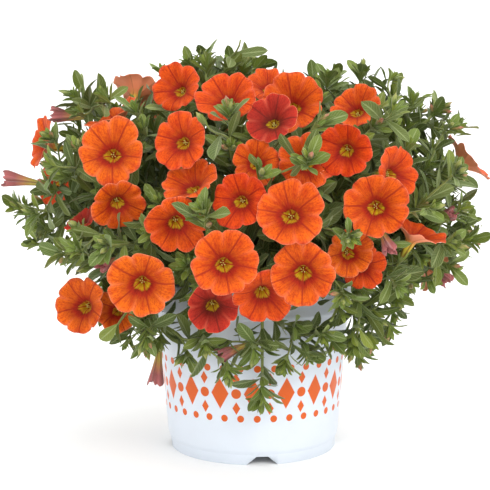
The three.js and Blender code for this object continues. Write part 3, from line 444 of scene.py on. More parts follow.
class Neighbours:
    """Points that are taken, kept in cells, each with a radius and an owner."""

    def __init__(self):
        self.cells = {}

    def take(self, point, radius, owner):
        key = tuple(math.floor(v / CELL) for v in point)
        self.cells.setdefault(key, []).append((*point, radius, id(owner)))

    def free(self, point, radius, owner):
        cx, cy, cz = (math.floor(v / CELL) for v in point)
        for x in (cx - 1, cx, cx + 1):
            for y in (cy - 1, cy, cy + 1):
                for z in (cz - 1, cz, cz + 1):
                    for px, py, pz, other, owned in self.cells.get((x, y, z), ()):
                        near = other + radius + SPACING["clear"]
                        apart = (px - point[0]) ** 2 + (py - point[1]) ** 2 + (pz - point[2]) ** 2
                        if owned != id(owner) and apart < near * near:
                            return False
        return True


@functools.lru_cache(maxsize=1)
def layout():
    """The blooms, stems, branches and large leaves, placed as the solids are."""
    lots = Lots(SEEDS["layout"])
    open_rows = [*OPEN_BLOOMS, *back_bloom_rows(lots)]
    blooms = [bloom_from(row, lots) for row in open_rows]
    spent = [spent_from(row) for row in SPENT_BLOOMS]
    stems = [stem_from(tip, i, lots) for i, tip in enumerate(STEM_TIPS)]
    for flower in [*blooms, *spent]:
        branch_to(stems, flower.calyx_end, flower.axis, flower)
    for tip in SHOOT_TIPS:
        end = np.array(tip, float)
        branch_to(stems, end, mound_normal(end), None)
    arrays = SimpleNamespace(
        throat=np.array([b.throat for b in blooms]), axis=np.array([b.axis for b in blooms]),
        across=np.array([b.across for b in blooms]))

    neighbours = Neighbours()
    for stem in stems:
        for carrier in (stem, *stem.branches):
            for i in range(PROBE["per_stem"] + 1):
                neighbours.take(on_curve(carrier.curve, i / PROBE["per_stem"]), PROBE["stem"], carrier)
            if carrier.flower is not None:
                neighbours.take(carrier.flower.tube_base, PROBE["calyx"], carrier)
    for flower in spent:
        for i in range(PROBE["per_spent"] + 1):
            place = flower.tube_base + flower.axis * flower.length * i / PROBE["per_spent"]
            neighbours.take(place, PROBE["spent"], flower)

    def grow(stem, carrier, t, angle, length, spread):
        place, axis = on_stalk(carrier, t)
        level, upward = sideways(axis)
        for attempt in range(LEAF["tries"]):
            turn = angle + attempt * LEAF["try_turn"]
            out = level * math.cos(turn) + upward * math.sin(turn)
            direction = unit(out * math.sin(spread) + axis * math.cos(spread) + UP * LEAF["lift"])
            normal = unit(axis - direction * (axis @ direction))
            probes = leaf_probes(place - direction * LEAF["sunk"], direction, normal, length)
            if not (clear_of_pot(probes).all() and clear_of_blooms(probes, arrays).all()):
                continue
            if all(neighbours.free(p, PROBE["leaf"], carrier) for p in probes):
                leaf = SimpleNamespace(base=on_curve(carrier.curve, t), direction=direction, normal=normal,
                                       length=length, t=t)
                for p in probes:
                    neighbours.take(p, PROBE["leaf"], leaf)
                stem.leaves.append(leaf)
                return

    def leaves_along(stem, carrier, start, step):
        places = on_curve(carrier.curve, np.arange(9) / 8)
        length = np.linalg.norm(np.diff(places, axis=0), axis=1).sum()
        count = math.floor(length * (1 - start) / step)
        angle = lots.between(0, 2 * math.pi)
        for i in range(count):
            t = start + (0.94 - start) * (i + 0.5) / max(count, 1)
            leaf_length = (LEAF["long"] + (LEAF["short"] - LEAF["long"]) * t) * lots.between(0.9, 1.15)
            grow(stem, carrier, t, angle, leaf_length, lots.between(0.85, 1.15))
            angle += GOLDEN_ANGLE

    for stem in stems:
        for carrier in (stem, *(b for b in stem.branches if b.flower is None)):
            first = lots.between(0, 2 * math.pi)
            for i in range(SPACING["tip_leaves"]):
                angle = first + i * 2 * math.pi / SPACING["tip_leaves"]
                length = LEAF["short"] * lots.between(0.9, 1.25)
                grow(stem, carrier, 0.97, angle, length, lots.between(0.55, 0.8))
        leaves_along(stem, stem, 0.35, SPACING["stem"])
        for branch in stem.branches:
            leaves_along(stem, branch, 0.2, SPACING["branch"])
    return SimpleNamespace(blooms=blooms, spent=spent, stems=stems, arrays=arrays)


# ---------------------------------------------------------------- skins
def triple(*numbers):
    """Three numbers for each point, spread to one shape."""
    return np.stack(np.broadcast_arrays(*numbers), axis=-1)


def put(name, data):
    """A new object in the scene."""
    made = bpy.data.objects.new(name, data)
    bpy.context.scene.collection.objects.link(made)
    return made


class Skin:
    """The surfaces of one piece: points in millimetres from the pot's axis, faces of four corners, and two
    marks on each point that the materials read."""

    def __init__(self):
        self.points, self.faces, self.finishes, self.marks, self.tints, self.count = [], [], [], [], [], 0

    def lay(self, points, faces, finish, mark=(0, 0, 0), tint=(0, 0, 0)):
        points = np.asarray(points, float).reshape(-1, 3)
        self.points.append(points)
        self.faces.append(faces + self.count)
        self.finishes.append(np.full(len(faces), finish))
        self.marks.append(np.broadcast_to(np.reshape(mark, (-1, 3)), points.shape))
        self.tints.append(np.broadcast_to(np.reshape(tint, (-1, 3)), points.shape))
        self.count += len(points)

    def piece(self, name, materials, slot, *nodes):
        """Makes the object and sets it on the frame in place of its nodes."""
        mesh = bpy.data.meshes.new(name)
        points = np.concatenate(self.points) * MM + POT_AXIS
        faces = np.concatenate(self.faces)
        mesh.vertices.add(len(points))
        mesh.vertices.foreach_set("co", points.astype(np.float32).ravel())
        mesh.loops.add(faces.size)
        mesh.loops.foreach_set("vertex_index", faces.astype(np.int32).ravel())
        mesh.polygons.add(len(faces))
        mesh.polygons.foreach_set("loop_start", np.arange(len(faces), dtype=np.int32) * 4)
        mesh.polygons.foreach_set("material_index", np.concatenate(self.finishes).astype(np.int32))
        for label, values in (("mark", self.marks), ("tint", self.tints)):
            attribute = mesh.attributes.new(label, "FLOAT_VECTOR", "POINT")
            attribute.data.foreach_set("vector", np.concatenate(values).astype(np.float32).ravel())
        mesh.update(calc_edges=True)
        mesh.validate()
        mesh.shade_smooth()
        for material in materials:
            mesh.materials.append(material)
        made = put(name, mesh)
        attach(made, "root")
        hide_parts(*nodes)
        return made


@functools.lru_cache(maxsize=64)
def grid(rows, columns, wrapped=False):
    """Faces of a grid of points, row after row."""
    r = np.arange(rows - 1)[:, None]
    c = np.arange(columns if wrapped else columns - 1)[None, :]
    a, b = r * columns + c, r * columns + (c + 1) % columns
    return np.stack([a, b, b + columns, a + columns], axis=-1).reshape(-1, 4)


def lay_tube(skin, curve, radii, sides, steps):
    """A round stalk along a curve, closed at its far end, its radii spread evenly over its length."""
    t = np.linspace(0, 1, steps + 1)
    places = on_curve(curve, t)
    axes = unit(on_curve(curve, np.minimum(t + 0.02, 1)) - on_curve(curve, np.maximum(t - 0.02, 0)))
    across = sideways(axes[0])[0]
    angles = np.arange(sides) / sides * 2 * math.pi
    rings = []
    for place, axis, radius in zip(places, axes, np.interp(t, np.linspace(0, 1, len(radii)), radii)):
        across = unit(across - axis * (across @ axis))
        up = np.cross(axis, across)
        rings.append(place + radius * (np.outer(np.cos(angles), across) + np.outer(np.sin(angles), up)))
    rings.append(np.repeat(places[-1:] + axes[-1] * radii[-1] * 0.8, sides, axis=0))
    skin.lay(np.array(rings), grid(len(rings), sides, True), STEM_FINISH)


def leaf_rows(base, direction, upper, length, width, droop, fold, twist, young, chance):
    """One row of numbers for each leaf of an array of them."""
    n = len(base)
    normal = unit(upper - direction * np.sum(upper * direction, axis=1, keepdims=True) + 1e-9)
    columns = [np.broadcast_to(np.asarray(v, float), (n,))[:, None]
               for v in (length, width, droop, fold, twist, young, chance)]
    return np.concatenate([base, direction, normal, *columns], axis=1)


def lay_leaves(skin, rows):
    """Blades with a folded midrib, a bow and a twist, all laid in one go."""
    base, direction, normal = (rows[:, i:i + 3][:, None, None, :] for i in (0, 3, 6))
    length, width, droop, fold, twist, young, chance = (rows[:, i][:, None, None] for i in range(9, 16))
    side = np.cross(direction, normal)
    s, v = BLADE_ALONG[None, :, None], BLADE_ACROSS[None, None, :]
    outline = np.maximum(s**0.7 * (1 - s**4) ** 0.85 / BLADE_WIDEST, 0.08 * (1 - s))
    half = width / 2 * outline
    angle = twist * s
    level = np.cos(angle)[..., None] * side + np.sin(angle)[..., None] * normal
    wave = 0.05 * width * outline * np.sin(9 * s + 6 * chance) * v
    rise = -droop * length * s * s + fold * half * np.abs(v) + wave
    points = base + direction * (length * s * (1 - 0.3 * droop * s))[..., None]
    points = points + level * (half * v)[..., None] + normal * rise[..., None]
    along, across = points.shape[1:3]
    faces = grid(along, across)[None] + np.arange(len(rows))[:, None, None] * along * across
    tint = np.broadcast_to(triple(young, chance, 0.0), points.shape)
    skin.lay(points, faces.reshape(-1, 4), LEAF_FINISH, triple(np.abs(v), s, chance), tint)


def lay_bulb(skin, base, axis, length, profile, sides, finish, age=0.0, pleats=0.0, twist=0.0, roll=0.0,
             along=None, crumple=0.0):
    """A turned form along an axis, such as a bud, with pleats that may twist and an end that may crumple."""
    across, up = sideways(axis)
    t = np.asarray(np.linspace(0, 1, len(profile)) if along is None else along)[:, None]
    angles = np.arange(sides)[None, :] / sides * 2 * math.pi
    turned = angles + roll
    pleat = np.cos(FLOWER["lobes"] * (turned + twist * t))
    wrinkle = 0.06 * crumple * t**2 * np.sin(11 * turned + 4 * t)
    radius = np.asarray(profile)[:, None] * (1 + pleats * pleat + wrinkle)
    ragged = crumple * t**4 * (np.sin(3 * turned) + 0.6 * np.sin(8 * turned + 2))
    points = base + axis * (length * t + ragged)[..., None] + across * (radius * np.cos(angles))[..., None]
    points = points + up * (radius * np.sin(angles))[..., None]
    skin.lay(points, grid(len(profile), sides, True), finish, triple(t, 0.5 - 0.5 * pleat, age))


# ---------------------------------------------------------------- fine foliage
def clear_of_faces(points, plan):
    """Which points leave the blooms' faces open: along their axes, and from where the plant is looked at."""
    blooms = plan.arrays
    face = blooms.throat + blooms.axis * (0.16 * blooms.across)[:, None]
    offset = points[:, None, :] - face
    height, reach = along_and_off(offset, blooms.axis)
    covering = (height > -2) & (height < FACE_ROOM) & (reach < 0.42 * blooms.across)
    shown = list(CLEAR_FACES)
    height, reach = along_and_off(offset[:, shown], unit(EYE - face[shown]))
    hiding = (height > 2) & (reach < 0.45 * blooms.across[shown])
    return ~(covering.any(axis=1) | hiding.any(axis=1))


def in_mound(points, slack):
    """Which points lie in the mound, whose reach is stretched by the slack."""
    height = points[..., 2]
    reach = np.interp(height, MOUND_HEIGHTS, MOUND_REACHES) * slack
    inside = np.hypot(points[..., 0], points[..., 1] * OVAL) < reach
    return inside & (height < MOUND_HEIGHTS[-1] + 6) & (height > MOUND_HEIGHTS[0] - 12)


def blade_probes(rows):
    """Six points on each leaf: four along its midrib and one on each margin."""
    s = np.array([0.35, 0.6, 0.85, 1.0, 0.55, 0.55])[None, :, None]
    v = np.array([0, 0, 0, 0, -0.8, 0.8])[None, :, None]
    base, direction, normal = (rows[:, i:i + 3][:, None, :] for i in (0, 3, 6))
    length, width, droop = (rows[:, i][:, None, None] for i in (9, 10, 11))
    side = np.cross(direction, normal)
    return base + direction * length * s + side * width / 2 * v - normal * droop * length * s * s


def sift(rows, plan, slack=1.05, over=False):
    """Keeps the leaves that run into no bloom or pot and, unless they may, cover no bloom's face."""
    if not len(rows):
        return rows
    probes = blade_probes(rows)
    flat = probes.reshape(-1, 3)
    good = clear_of_pot(flat) & clear_of_blooms(flat, plan.arrays)
    good &= over | clear_of_faces(flat, plan) & (in_mound(flat, slack) | (flat[:, 2] < TRAILING))
    return rows[good.reshape(probes.shape[:2]).all(axis=1)]


def sprays(rng, curve, start, step, length, taper):
    """Leaves along a twig, turned by the golden angle, smaller and younger towards its tip."""
    places = on_curve(curve, np.linspace(0, 1, 9))
    span = np.linalg.norm(np.diff(places, axis=0), axis=1).sum()
    n = max(int(span * (1 - start) / step), 1)
    t = start + (0.97 - start) * (np.arange(n) + rng.uniform(0.2, 0.8)) / n
    axis = curve_direction(curve, t)
    level = unit(np.cross(UP + 1e-3, axis))
    up = np.cross(axis, level)
    angle = (rng.uniform(0, AROUND) + GOLDEN_ANGLE * np.arange(n) + rng.normal(0, 0.25, n))[:, None]
    spread = (1.15 - 0.35 * t + rng.normal(0, 0.12, n))[:, None]
    out = level * np.cos(angle) + up * np.sin(angle)
    direction = unit(out * np.sin(spread) + axis * np.cos(spread) + UP * 0.15)
    size = length * (1 - taper * t**3) * rng.uniform(0.78, 1.12, n)
    young = np.clip((t - YOUNG_FROM) / (1 - YOUNG_FROM), 0, 1) * rng.uniform(0.5, 1, n)
    return leaf_rows(on_curve(curve, t), direction, axis, size, size * rng.uniform(0.31, 0.42, n),
                     rng.uniform(0.02, 0.24, n), rng.uniform(0.15, 0.5, n), rng.normal(0, 0.35, n),
                     young, rng.uniform(0, 1, n))


def rosette(rng, end, axis, count, length):
    """The crowded small leaves at a shoot's tip."""
    level, up = sideways(axis)
    k = np.arange(count)
    angle = (rng.uniform(0, AROUND) + GOLDEN_ANGLE * k)[:, None]
    spread = (0.25 + 0.75 * k / count + rng.normal(0, 0.08, count))[:, None]
    direction = unit((level * np.cos(angle) + up * np.sin(angle)) * np.sin(spread) + axis * np.cos(spread))
    size = length * (0.5 + 0.5 * k / count) * rng.uniform(0.85, 1.15, count)
    base = end - axis * (k * 0.7)[:, None]
    return leaf_rows(base, direction, np.broadcast_to(axis, base.shape), size,
                     size * rng.uniform(0.24, 0.38, count), rng.uniform(0.0, 0.2, count),
                     rng.uniform(0.3, 0.7, count), rng.normal(0, 0.2, count), 1 - 0.5 * k / count,
                     rng.uniform(0, 1, count))


def sepals(rng, base, axis, length, spread, roll, out=1.0):
    """Five narrow sepals round a tube or a bud."""
    lobes = FLOWER["lobes"]
    level, up = sideways(axis)
    angle = (roll + np.arange(lobes) * 2 * math.pi / lobes)[:, None]
    around = level * np.cos(angle) + up * np.sin(angle)
    lean = (spread + rng.normal(0, 0.08, lobes))[:, None]
    direction = unit(around * np.sin(lean) + axis * np.cos(lean))
    size = length * rng.uniform(0.85, 1.15, lobes)
    return leaf_rows(base + around * out, direction, around, size, size * 0.2,
                     rng.uniform(-0.05, 0.12, lobes), 0.5, rng.normal(0, 0.2, lobes),
                     rng.uniform(0.4, 0.9, lobes), rng.uniform(0, 1, lobes))


def twig_targets(rng, count):
    """Places spread evenly over and through the mound, the outermost last."""
    k = np.arange(count) + 0.5
    heights = np.linspace(MOUND_HEIGHTS[0], MOUND_HEIGHTS[-1], 200)
    share = np.cumsum(np.interp(heights, MOUND_HEIGHTS, MOUND_REACHES))
    z = np.interp((k * EVEN_STEPS[0]) % 1, share / share[-1], heights)
    angle = 2 * math.pi * ((k * EVEN_STEPS[1]) % 1)
    depth = 1 - 0.52 * (1 - k / count) ** 1.1
    reach = np.interp(z, MOUND_HEIGHTS, MOUND_REACHES) * depth
    z = MOUND["middle"] + (z - MOUND["middle"]) * (0.35 + 0.65 * depth)
    return np.stack([np.cos(angle) * reach, np.sin(angle) * reach / OVAL, z], axis=-1) + rng.normal(
        0, 4, (count, 3))


@functools.lru_cache(maxsize=2)
def fine_foliage(leaf_length, twigs):
    """Every stem's side twigs, small leaves, buds and sepals, as lists for its skin."""
    plan = layout()
    rng = np.random.default_rng(SEEDS["foliage"])
    growth = {stem.node: SimpleNamespace(leaves=[], tubes=[], buds=[]) for stem in plan.stems}
    forks, ways, owners = [], [], []

    def note(curve, owner):
        """Lets later twigs fork off a curve."""
        t = np.linspace(0.3, 0.96, 12)
        forks.append(on_curve(curve, t))
        ways.append(curve_direction(curve, t))
        owners.extend([owner] * len(t))

    def open_way(points, over):
        clear = clear_of_pot(points) & clear_of_blooms(points, plan.arrays)
        return (clear & (over | clear_of_faces(points, plan))).all()

    def tip(owner, end, axis, budding, over=False):
        """The rosette at a shoot's end, with its buds."""
        mine = growth[owner]
        crowd = rosette(rng, end, axis, 15 if over else 9, 0.66 * leaf_length)
        mine.leaves.append(sift(crowd, plan, 1.09, over))
        for _ in range(budding):
            lean = unit(axis + rng.normal(0, 0.35, 3))
            base = end - axis * 2 + lean * rng.uniform(2, 5)
            length = rng.uniform(7, 14)
            if open_way(base + lean * np.array([[2.0], [length + 3]]), over):
                mine.buds.append((base, lean, length, rng.uniform(0, 1), rng.uniform(0, AROUND)))
                mine.leaves.append(sepals(rng, base, lean, 0.8 * length, 0.22, rng.uniform(0, AROUND), 0.6))

    def twig(target, tries, over):
        """A side twig that ends at a place, forked off what reaches it best."""
        places, directions = np.concatenate(forks), np.concatenate(ways)
        lift = 0.25 if target[2] > POT["height"] else -0.35
        axis = unit(mound_normal(target) + rng.normal(0, 0.25, 3) + UP * lift)
        reach = target - axis * 10 - places
        cost = np.linalg.norm(reach, axis=1) - 0.45 * np.sum(reach * directions, axis=1)
        for best in np.argsort(cost)[:tries]:
            root, span = places[best], np.linalg.norm(target - places[best])
            first, second = root + directions[best] * 0.32 * span, target - axis * 0.36 * span
            curve = np.array([root, first, second, target])
            if 11 < span < 95 and open_way(on_curve(curve, np.linspace(0.12, 1, 10)), over):
                break
        else:
            return
        owner = owners[best]
        note(curve, owner)
        growth[owner].tubes.append(curve)
        growth[owner].leaves.append(sift(sprays(rng, curve, 0.12, 4.4, leaf_length, 0.35), plan, over=over))
        edge = 0.8 * np.interp(target[2], MOUND_HEIGHTS, MOUND_REACHES)
        outer = np.hypot(target[0], target[1] * OVAL) > edge
        tip(owner, target, axis, int(rng.integers(0, 3)) if outer else 0, over)

    for stem in plan.stems:
        mine = growth[stem.node]
        for carrier in (stem, *stem.branches):
            curve = carrier.curve.copy()
            if carrier is not stem:
                curve[0] = carrier.root
            carrier.smooth = curve
            note(curve, stem.node)
            start = 0.3 if carrier is stem else 0.15
            mine.leaves.append(sift(sprays(rng, curve, start, 4.8, leaf_length, 0.3), plan))
            if carrier.flower is None:
                tip(stem.node, curve[3], curve_direction(curve, 0.98), int(rng.integers(0, 4)))
            else:
                flower = carrier.flower
                length = (0.4 if hasattr(flower, "across") else 0.3) * leaf_length
                base = flower.tube_base - flower.axis * 2
                mine.leaves.append(sepals(rng, base, flower.axis, length, 0.42, rng.uniform(0, AROUND)))
    for target in OUTER_TWIGS:
        twig(np.array(target, float), 60, True)
    for target in twig_targets(rng, twigs):
        if clear_of_pot(target) and (target[2] >= POT["height"] or math.hypot(*target[:2]) >= POT["rim"] + 7):
            twig(target, 1, False)
    return growth


# ---------------------------------------------------------------- materials
def link(tree, source, socket):
    """Links an output, or the first output of a node, to a socket."""
    if isinstance(source, bpy.types.Node):
        source = next(output for output in source.outputs if output.enabled)
    tree.links.new(source, socket)


def add(tree, kind, sockets=None, stops=None, **settings):
    """Adds a node with its settings, its colour stops, and what goes into its sockets: a value, a hex
    colour, an output, or a node whose first output is taken."""
    node = tree.nodes.new("ShaderNode" + kind)
    for name, value in settings.items():
        setattr(node, name, value)
    if stops:
        ramp = node.color_ramp
        while len(ramp.elements) < len(stops):
            ramp.elements.new(0.5)
        for element, (position, value) in zip(ramp.elements, stops):
            element.position, element.color = position, linear(value) if isinstance(value, str) else value
    for name, value in (sockets or {}).items():
        if isinstance(value, (bpy.types.Node, bpy.types.NodeSocket)):
            link(tree, value, node.inputs[name])
        else:
            node.inputs[name].default_value = linear(value) if isinstance(value, str) else value
    return node


def surface(name, **sockets):
    """A new material with its shader, whose plain sockets are set by name."""
    material = bpy.data.materials.new(name)
    material.use_nodes = True
    tree = material.node_tree
    tree.nodes.clear()
    shader = add(tree, "BsdfPrincipled", {key.replace("_", " "): value for key, value in sockets.items()})
    add(tree, "OutputMaterial", {"Surface": shader})
    return material, tree, shader


def dress(tree, shader, colour, relief=None, strength=0.0, depth=0.0, **settings):
    """Gives a shader its colour and, with a strength and a depth in metres, its relief."""
    link(tree, colour, shader.inputs["Base Color"])
    if relief:
        bump = add(tree, "Bump", {"Height": relief, "Strength": strength, "Distance": depth}, **settings)
        link(tree, bump, shader.inputs["Normal"])


def numbers_of(tree, mark):
    """The three numbers that a mark holds at each point."""
    held = add(tree, "Attribute", attribute_name=mark)
    return add(tree, "SeparateXYZ", {"Vector": held.outputs["Vector"]}).outputs


def tinted(tree, colour, pattern, tones, share):
    """A colour multiplied by tones that follow a pattern."""
    tone = add(tree, "ValToRGB", {"Fac": pattern}, tones)
    return add(tree, "Mix", {0: share, 6: colour, 7: tone}, data_type="RGBA", blend_type="MULTIPLY")


def shade(value, factor):
    """A linear colour made darker or lighter."""
    return tuple(min(1.0, c * factor) for c in tuple(value)[:3]) + (1.0,)


WHITE, BLACK = (1, 1, 1, 1), (0, 0, 0, 1)


def petal_material(name, heart, middle, edge, throat, red):
    """Living petal tissue, grown as a soft velvety skin: the cells scatter light, so it looks matt with a
    faint bloom at grazing angles, glowing orange away from the dark-veined heart."""
    material, tree, shader = surface(
        name, Roughness=0.6, IOR=1.4, Specular_IOR_Level=0.2, Sheen_Weight=0.12, Sheen_Roughness=0.5,
        Sheen_Tint="#ffb48c")
    out, aside, back = numbers_of(tree, "mark")
    redness, turned, low = numbers_of(tree, "tint")
    # Where a point lies round the bloom and out from its middle, and by which amount the blooms differ.
    ray = add(tree, "CombineXYZ", {"X": out, "Y": turned, "Z": low})
    own = add(tree, "Math", {0: redness, 1: 40.0}, operation="MULTIPLY")

    def streaks(stretch, detail):
        """Noise drawn out along the rays of the bloom."""
        drawn = add(tree, "VectorMath", {0: ray, 1: stretch}, operation="MULTIPLY")
        return add(tree, "TexNoise", {"Vector": drawn, "W": own, "Scale": 1.0, "Detail": detail,
                                      "Roughness": 0.55}, noise_dimensions="4D")

    def marked(base, mask, start, end, first, last, colour):
        """A colour where the mask is white, its share changing from the start to the end of the way out."""
        fade = add(tree, "MapRange", {"Value": out, 1: start, 2: end, 3: first, 4: last})
        share = add(tree, "Math", {0: mask, 1: fade}, operation="MULTIPLY")
        return add(tree, "Mix", {0: share, 6: base, 7: colour}, data_type="RGBA")

    # The face, from the bottom of the tube to the rim. The yellow reaches furthest along the middle of each
    # lobe and ends in an uneven line. On the upper lobes the dark red reaches further into the throat as
    # painted shade, where the throat's upper rim shades the tube.
    upper = add(tree, "MapRange", {"Value": low, 1: 0.3, 2: -0.7, 3: 0.0, 4: 0.11})
    tongues_and_painted_shade = add(tree, "Math", {0: aside, 1: 0.035, 2: upper}, operation="MULTIPLY_ADD")
    uneven = streaks((2.0, 5.0, 5.0), 2.0)
    ragged = add(tree, "Math", {0: uneven, 1: 0.1, 2: tongues_and_painted_shade}, operation="MULTIPLY_ADD")
    inward = add(tree, "MapRange", {"Value": out, 1: 0.5, 2: 0.8, 3: 1.0, 4: 0.0})
    pull = add(tree, "Math", {0: ragged, 1: inward, 2: out}, operation="MULTIPLY_ADD")
    front = add(tree, "ValToRGB", {"Fac": pull}, [
        (0.05, shade(throat, 0.55)), (0.2, throat), (0.385, shade(throat, 0.85)), (0.425, shade(heart, 0.55)),
        (0.52, heart), (0.64, shade(middle, 0.8)), (0.76, middle), (0.88, shade(middle, 1.1)), (0.975, edge),
        (0.995, "#ee9a78")])
    # Broad streaks 4 to 8 mm wide run from a redder to a yellower orange.
    mottled = tinted(tree, front, streaks((2.4, 3.2, 3.2), 3.0),
                     [(0.36, "#d08a72"), (0.5, "#f0e6dc"), (0.64, "#fff8d0")], 0.7)
    # Cells about 1.5 mm across are speckled lighter and darker.
    speckled = tinted(tree, mottled, streaks((16.0, 16.0, 16.0), 3.0),
                      [(0.38, "#c98c78"), (0.5, "#f8efe8"), (0.62, "#fff4c4")], 0.65)
    # Hair-fine veins fan out from the throat, about one in each millimetre of rim.
    fan = streaks((2.0, 24.0, 24.0), 3.0)
    fine = add(tree, "ValToRGB", {"Fac": fan}, [(0.4, WHITE), (0.56, BLACK)])
    veined = marked(speckled, fine, 0.3, 1.0, 0.6, 0.3, heart)
    # One dark vein about a millimetre wide runs down the middle of each lobe.
    spread = add(tree, "Math", {0: aside, 1: out}, operation="MULTIPLY")
    rib = add(tree, "ValToRGB", {"Fac": spread}, [(0.0, WHITE), (0.02, WHITE), (0.06, BLACK)])
    ribbed = marked(veined, rib, 0.4, 1.0, 0.95, 0.6, shade(heart, 0.75))
    # A pale pinkish streak lies in each seam between two lobes.
    seam = add(tree, "ValToRGB", {"Fac": aside}, [(0.78, BLACK), (1.0, WHITE)])
    seamed = marked(ribbed, seam, 0.5, 1.0, 0.0, 0.3, "#f3906c")
    # Some blooms are redder than others, except in their throats.
    beyond = add(tree, "MapRange", {"Value": out, 1: 0.38, 2: 0.5, 3: 0.0, 4: 1.0})
    red_share = add(tree, "Math", {0: redness, 1: beyond}, operation="MULTIPLY")
    redder = add(tree, "Mix", {0: red_share, 6: seamed, 7: red}, data_type="RGBA", blend_type="MULTIPLY")
    # The back is paler, and it is lightened further as painted light that stands in for the light shining
    # through the thin petals; the tube below it is yellow with brown-green stripes.
    tube = add(tree, "ValToRGB", {"Fac": out}, [
        (0.0, "#8f9a38"), (0.14, "#c9b23a"), (0.27, "#d08a4a"), (0.42, "#ea8a62"), (1.0, "#f89c78")])
    striped = marked(tube, rib, 0.2, 0.34, 0.8, 0.25, "#7a5a24")
    both = add(tree, "Mix", {0: back, 6: redder, 7: striped}, data_type="RGBA")
    relief = add(tree, "Mix", {0: rib, 2: fan, 3: 0.0}, data_type="FLOAT")
    dress(tree, shader, both, relief, 0.5, 0.0006)
    return material


def leaf_material(leaf, young):
    """A downy leaf of living tissue: a grey-green matt blade with a paler midrib and margin, fresher green
    where it is young. The paler margin is partly its own colour and partly painted sheen, where short hairs
    catch the light."""
    material, tree, shader = surface(
        "Downy leaf, living tissue", Roughness=0.5, IOR=1.42, Specular_IOR_Level=0.4, Sheen_Weight=0.35,
        Sheen_Roughness=0.4, Sheen_Tint="#dfe8c8")
    aside, along, _ = numbers_of(tree, "mark")
    youth, tone, _ = numbers_of(tree, "tint")
    aged = add(tree, "Mix", {0: youth, 6: leaf, 7: young}, data_type="RGBA")
    # Each leaf has its own tone between bluish and yellowish green, clouded over the blade.
    toned = tinted(tree, aged, tone, [
        (0.0, "#a2b0a0"), (0.4, "#c9cdbe"), (0.8, "#e6e0c0"), (1.0, "#fbecb8")], 0.75)
    place = add(tree, "Attribute", attribute_name="mark").outputs["Vector"]
    cloud = add(tree, "TexNoise", {"Vector": place, "Scale": 5.0, "Detail": 3.0})
    clouded = add(tree, "Mix", {0: cloud, 6: toned, 7: shade(leaf, 1.7)}, data_type="RGBA",
                  blend_type="SOFT_LIGHT")
    # Side veins leave the midrib every 3 mm and slant towards the tip.
    slant = add(tree, "Math", {0: aside, 1: -0.28, 2: along}, operation="MULTIPLY_ADD")
    beat = add(tree, "Math", {0: slant, 1: 58.0}, operation="MULTIPLY")
    wave = add(tree, "Math", {0: beat}, operation="SINE")
    lines = add(tree, "MapRange", {"Value": wave, 1: 0.75, 2: 1.0, 3: 0.0, 4: 0.3})
    rib = add(tree, "MapRange", {"Value": aside, 1: 0.03, 2: 0.15, 3: 0.6, 4: 0.0})
    # The margin is painted paler: partly its own pale edge, partly painted sheen of the short hairs catching
    # the light.
    rim = add(tree, "MapRange", {"Value": aside, 1: 0.86, 2: 1.0, 3: 0.0, 4: 0.5})
    paler = add(tree, "Math", {0: lines, 1: rib}, operation="MAXIMUM")
    palest = add(tree, "Math", {0: paler, 1: rim}, operation="MAXIMUM")
    veined = add(tree, "Mix", {0: palest, 6: clouded, 7: "#a2ae78"}, data_type="RGBA")
    dress(tree, shader, veined, palest, 0.5, 0.0006, invert=True)
    return material


def stem_material(stem):
    """A soft green stem, round and downy: the short hairs give it a pale soft edge."""
    material, tree, shader = surface(
        "Green stem, downy skin", Roughness=0.6, IOR=1.42, Sheen_Weight=0.4, Sheen_Roughness=0.4)
    place = add(tree, "TexCoord").outputs["Object"]
    # Patches about 8 mm long are brownish where the skin has hardened.
    patch = add(tree, "TexNoise", {"Vector": place, "Scale": 120.0, "Detail": 3.0})
    bark = add(tree, "ValToRGB", {"Fac": patch}, [
        (0.3, shade(stem, 0.6)), (0.55, stem), (0.8, shade(stem, 1.3))])
    # The hairs are drawn as a grain of 0.7 mm, coarser than they are.
    down = add(tree, "TexNoise", {"Vector": place, "Scale": 1400.0, "Detail": 2.0})
    dress(tree, shader, bark, down, 0.4, 0.0003)
    return material


def bud_material():
    """A closed bud of folded petals: yellow-green with darker seams, flushed pink when about to open."""
    material, tree, shader = surface("Folded bud, silky skin", Roughness=0.5, IOR=1.4, Sheen_Weight=0.3)
    along, ridge, age = numbers_of(tree, "mark")
    green = add(tree, "ValToRGB", {"Fac": along}, [(0.0, "#66763a"), (0.5, "#85924a"), (1.0, "#9a9852")])
    flush = add(tree, "ValToRGB", {"Fac": along}, [(0.0, "#7f8a42"), (0.4, "#a08a50"), (1.0, "#b4605a")])
    ripe = add(tree, "MapRange", {"Value": age, 1: 0.55, 2: 0.9, 3: 0.0, 4: 1.0})
    aged = add(tree, "Mix", {0: ripe, 6: green, 7: flush}, data_type="RGBA")
    seam = add(tree, "MapRange", {"Value": ridge, 1: 0.0, 2: 0.35, 3: 0.55, 4: 0.0})
    seamed = add(tree, "Mix", {0: seam, 6: aged, 7: "#5d5a2a"}, data_type="RGBA")
    dress(tree, shader, seamed)
    return material


def spent_material(spent):
    """A withered petal tube, dried to thin crumpled paper: dull mauve pink with dark pleats over a striped
    yellow-green tube."""
    material, tree, shader = surface("Withered petal, papery", Roughness=0.7, IOR=1.4, Sheen_Weight=0.3)
    along, ridge, _ = numbers_of(tree, "mark")
    body = add(tree, "ValToRGB", {"Fac": along}, [
        (0.0, "#a3a452"), (0.38, "#bfa94e"), (0.58, "#c08458"), (0.78, spent), (1.0, shade(spent, 1.25))])
    crease = add(tree, "MapRange", {"Value": ridge, 1: 0.0, 2: 0.5, 3: 0.7, 4: 0.0})
    creased = add(tree, "Mix", {0: crease, 6: body, 7: "#6d3b34"}, data_type="RGBA")
    # Wrinkles about 1 mm apart.
    place = add(tree, "TexCoord").outputs["Object"]
    wrinkle = add(tree, "TexNoise", {"Vector": place, "Scale": 900.0, "Detail": 4.0})
    dress(tree, shader, creased, wrinkle, 0.6, 0.0008)
    return material


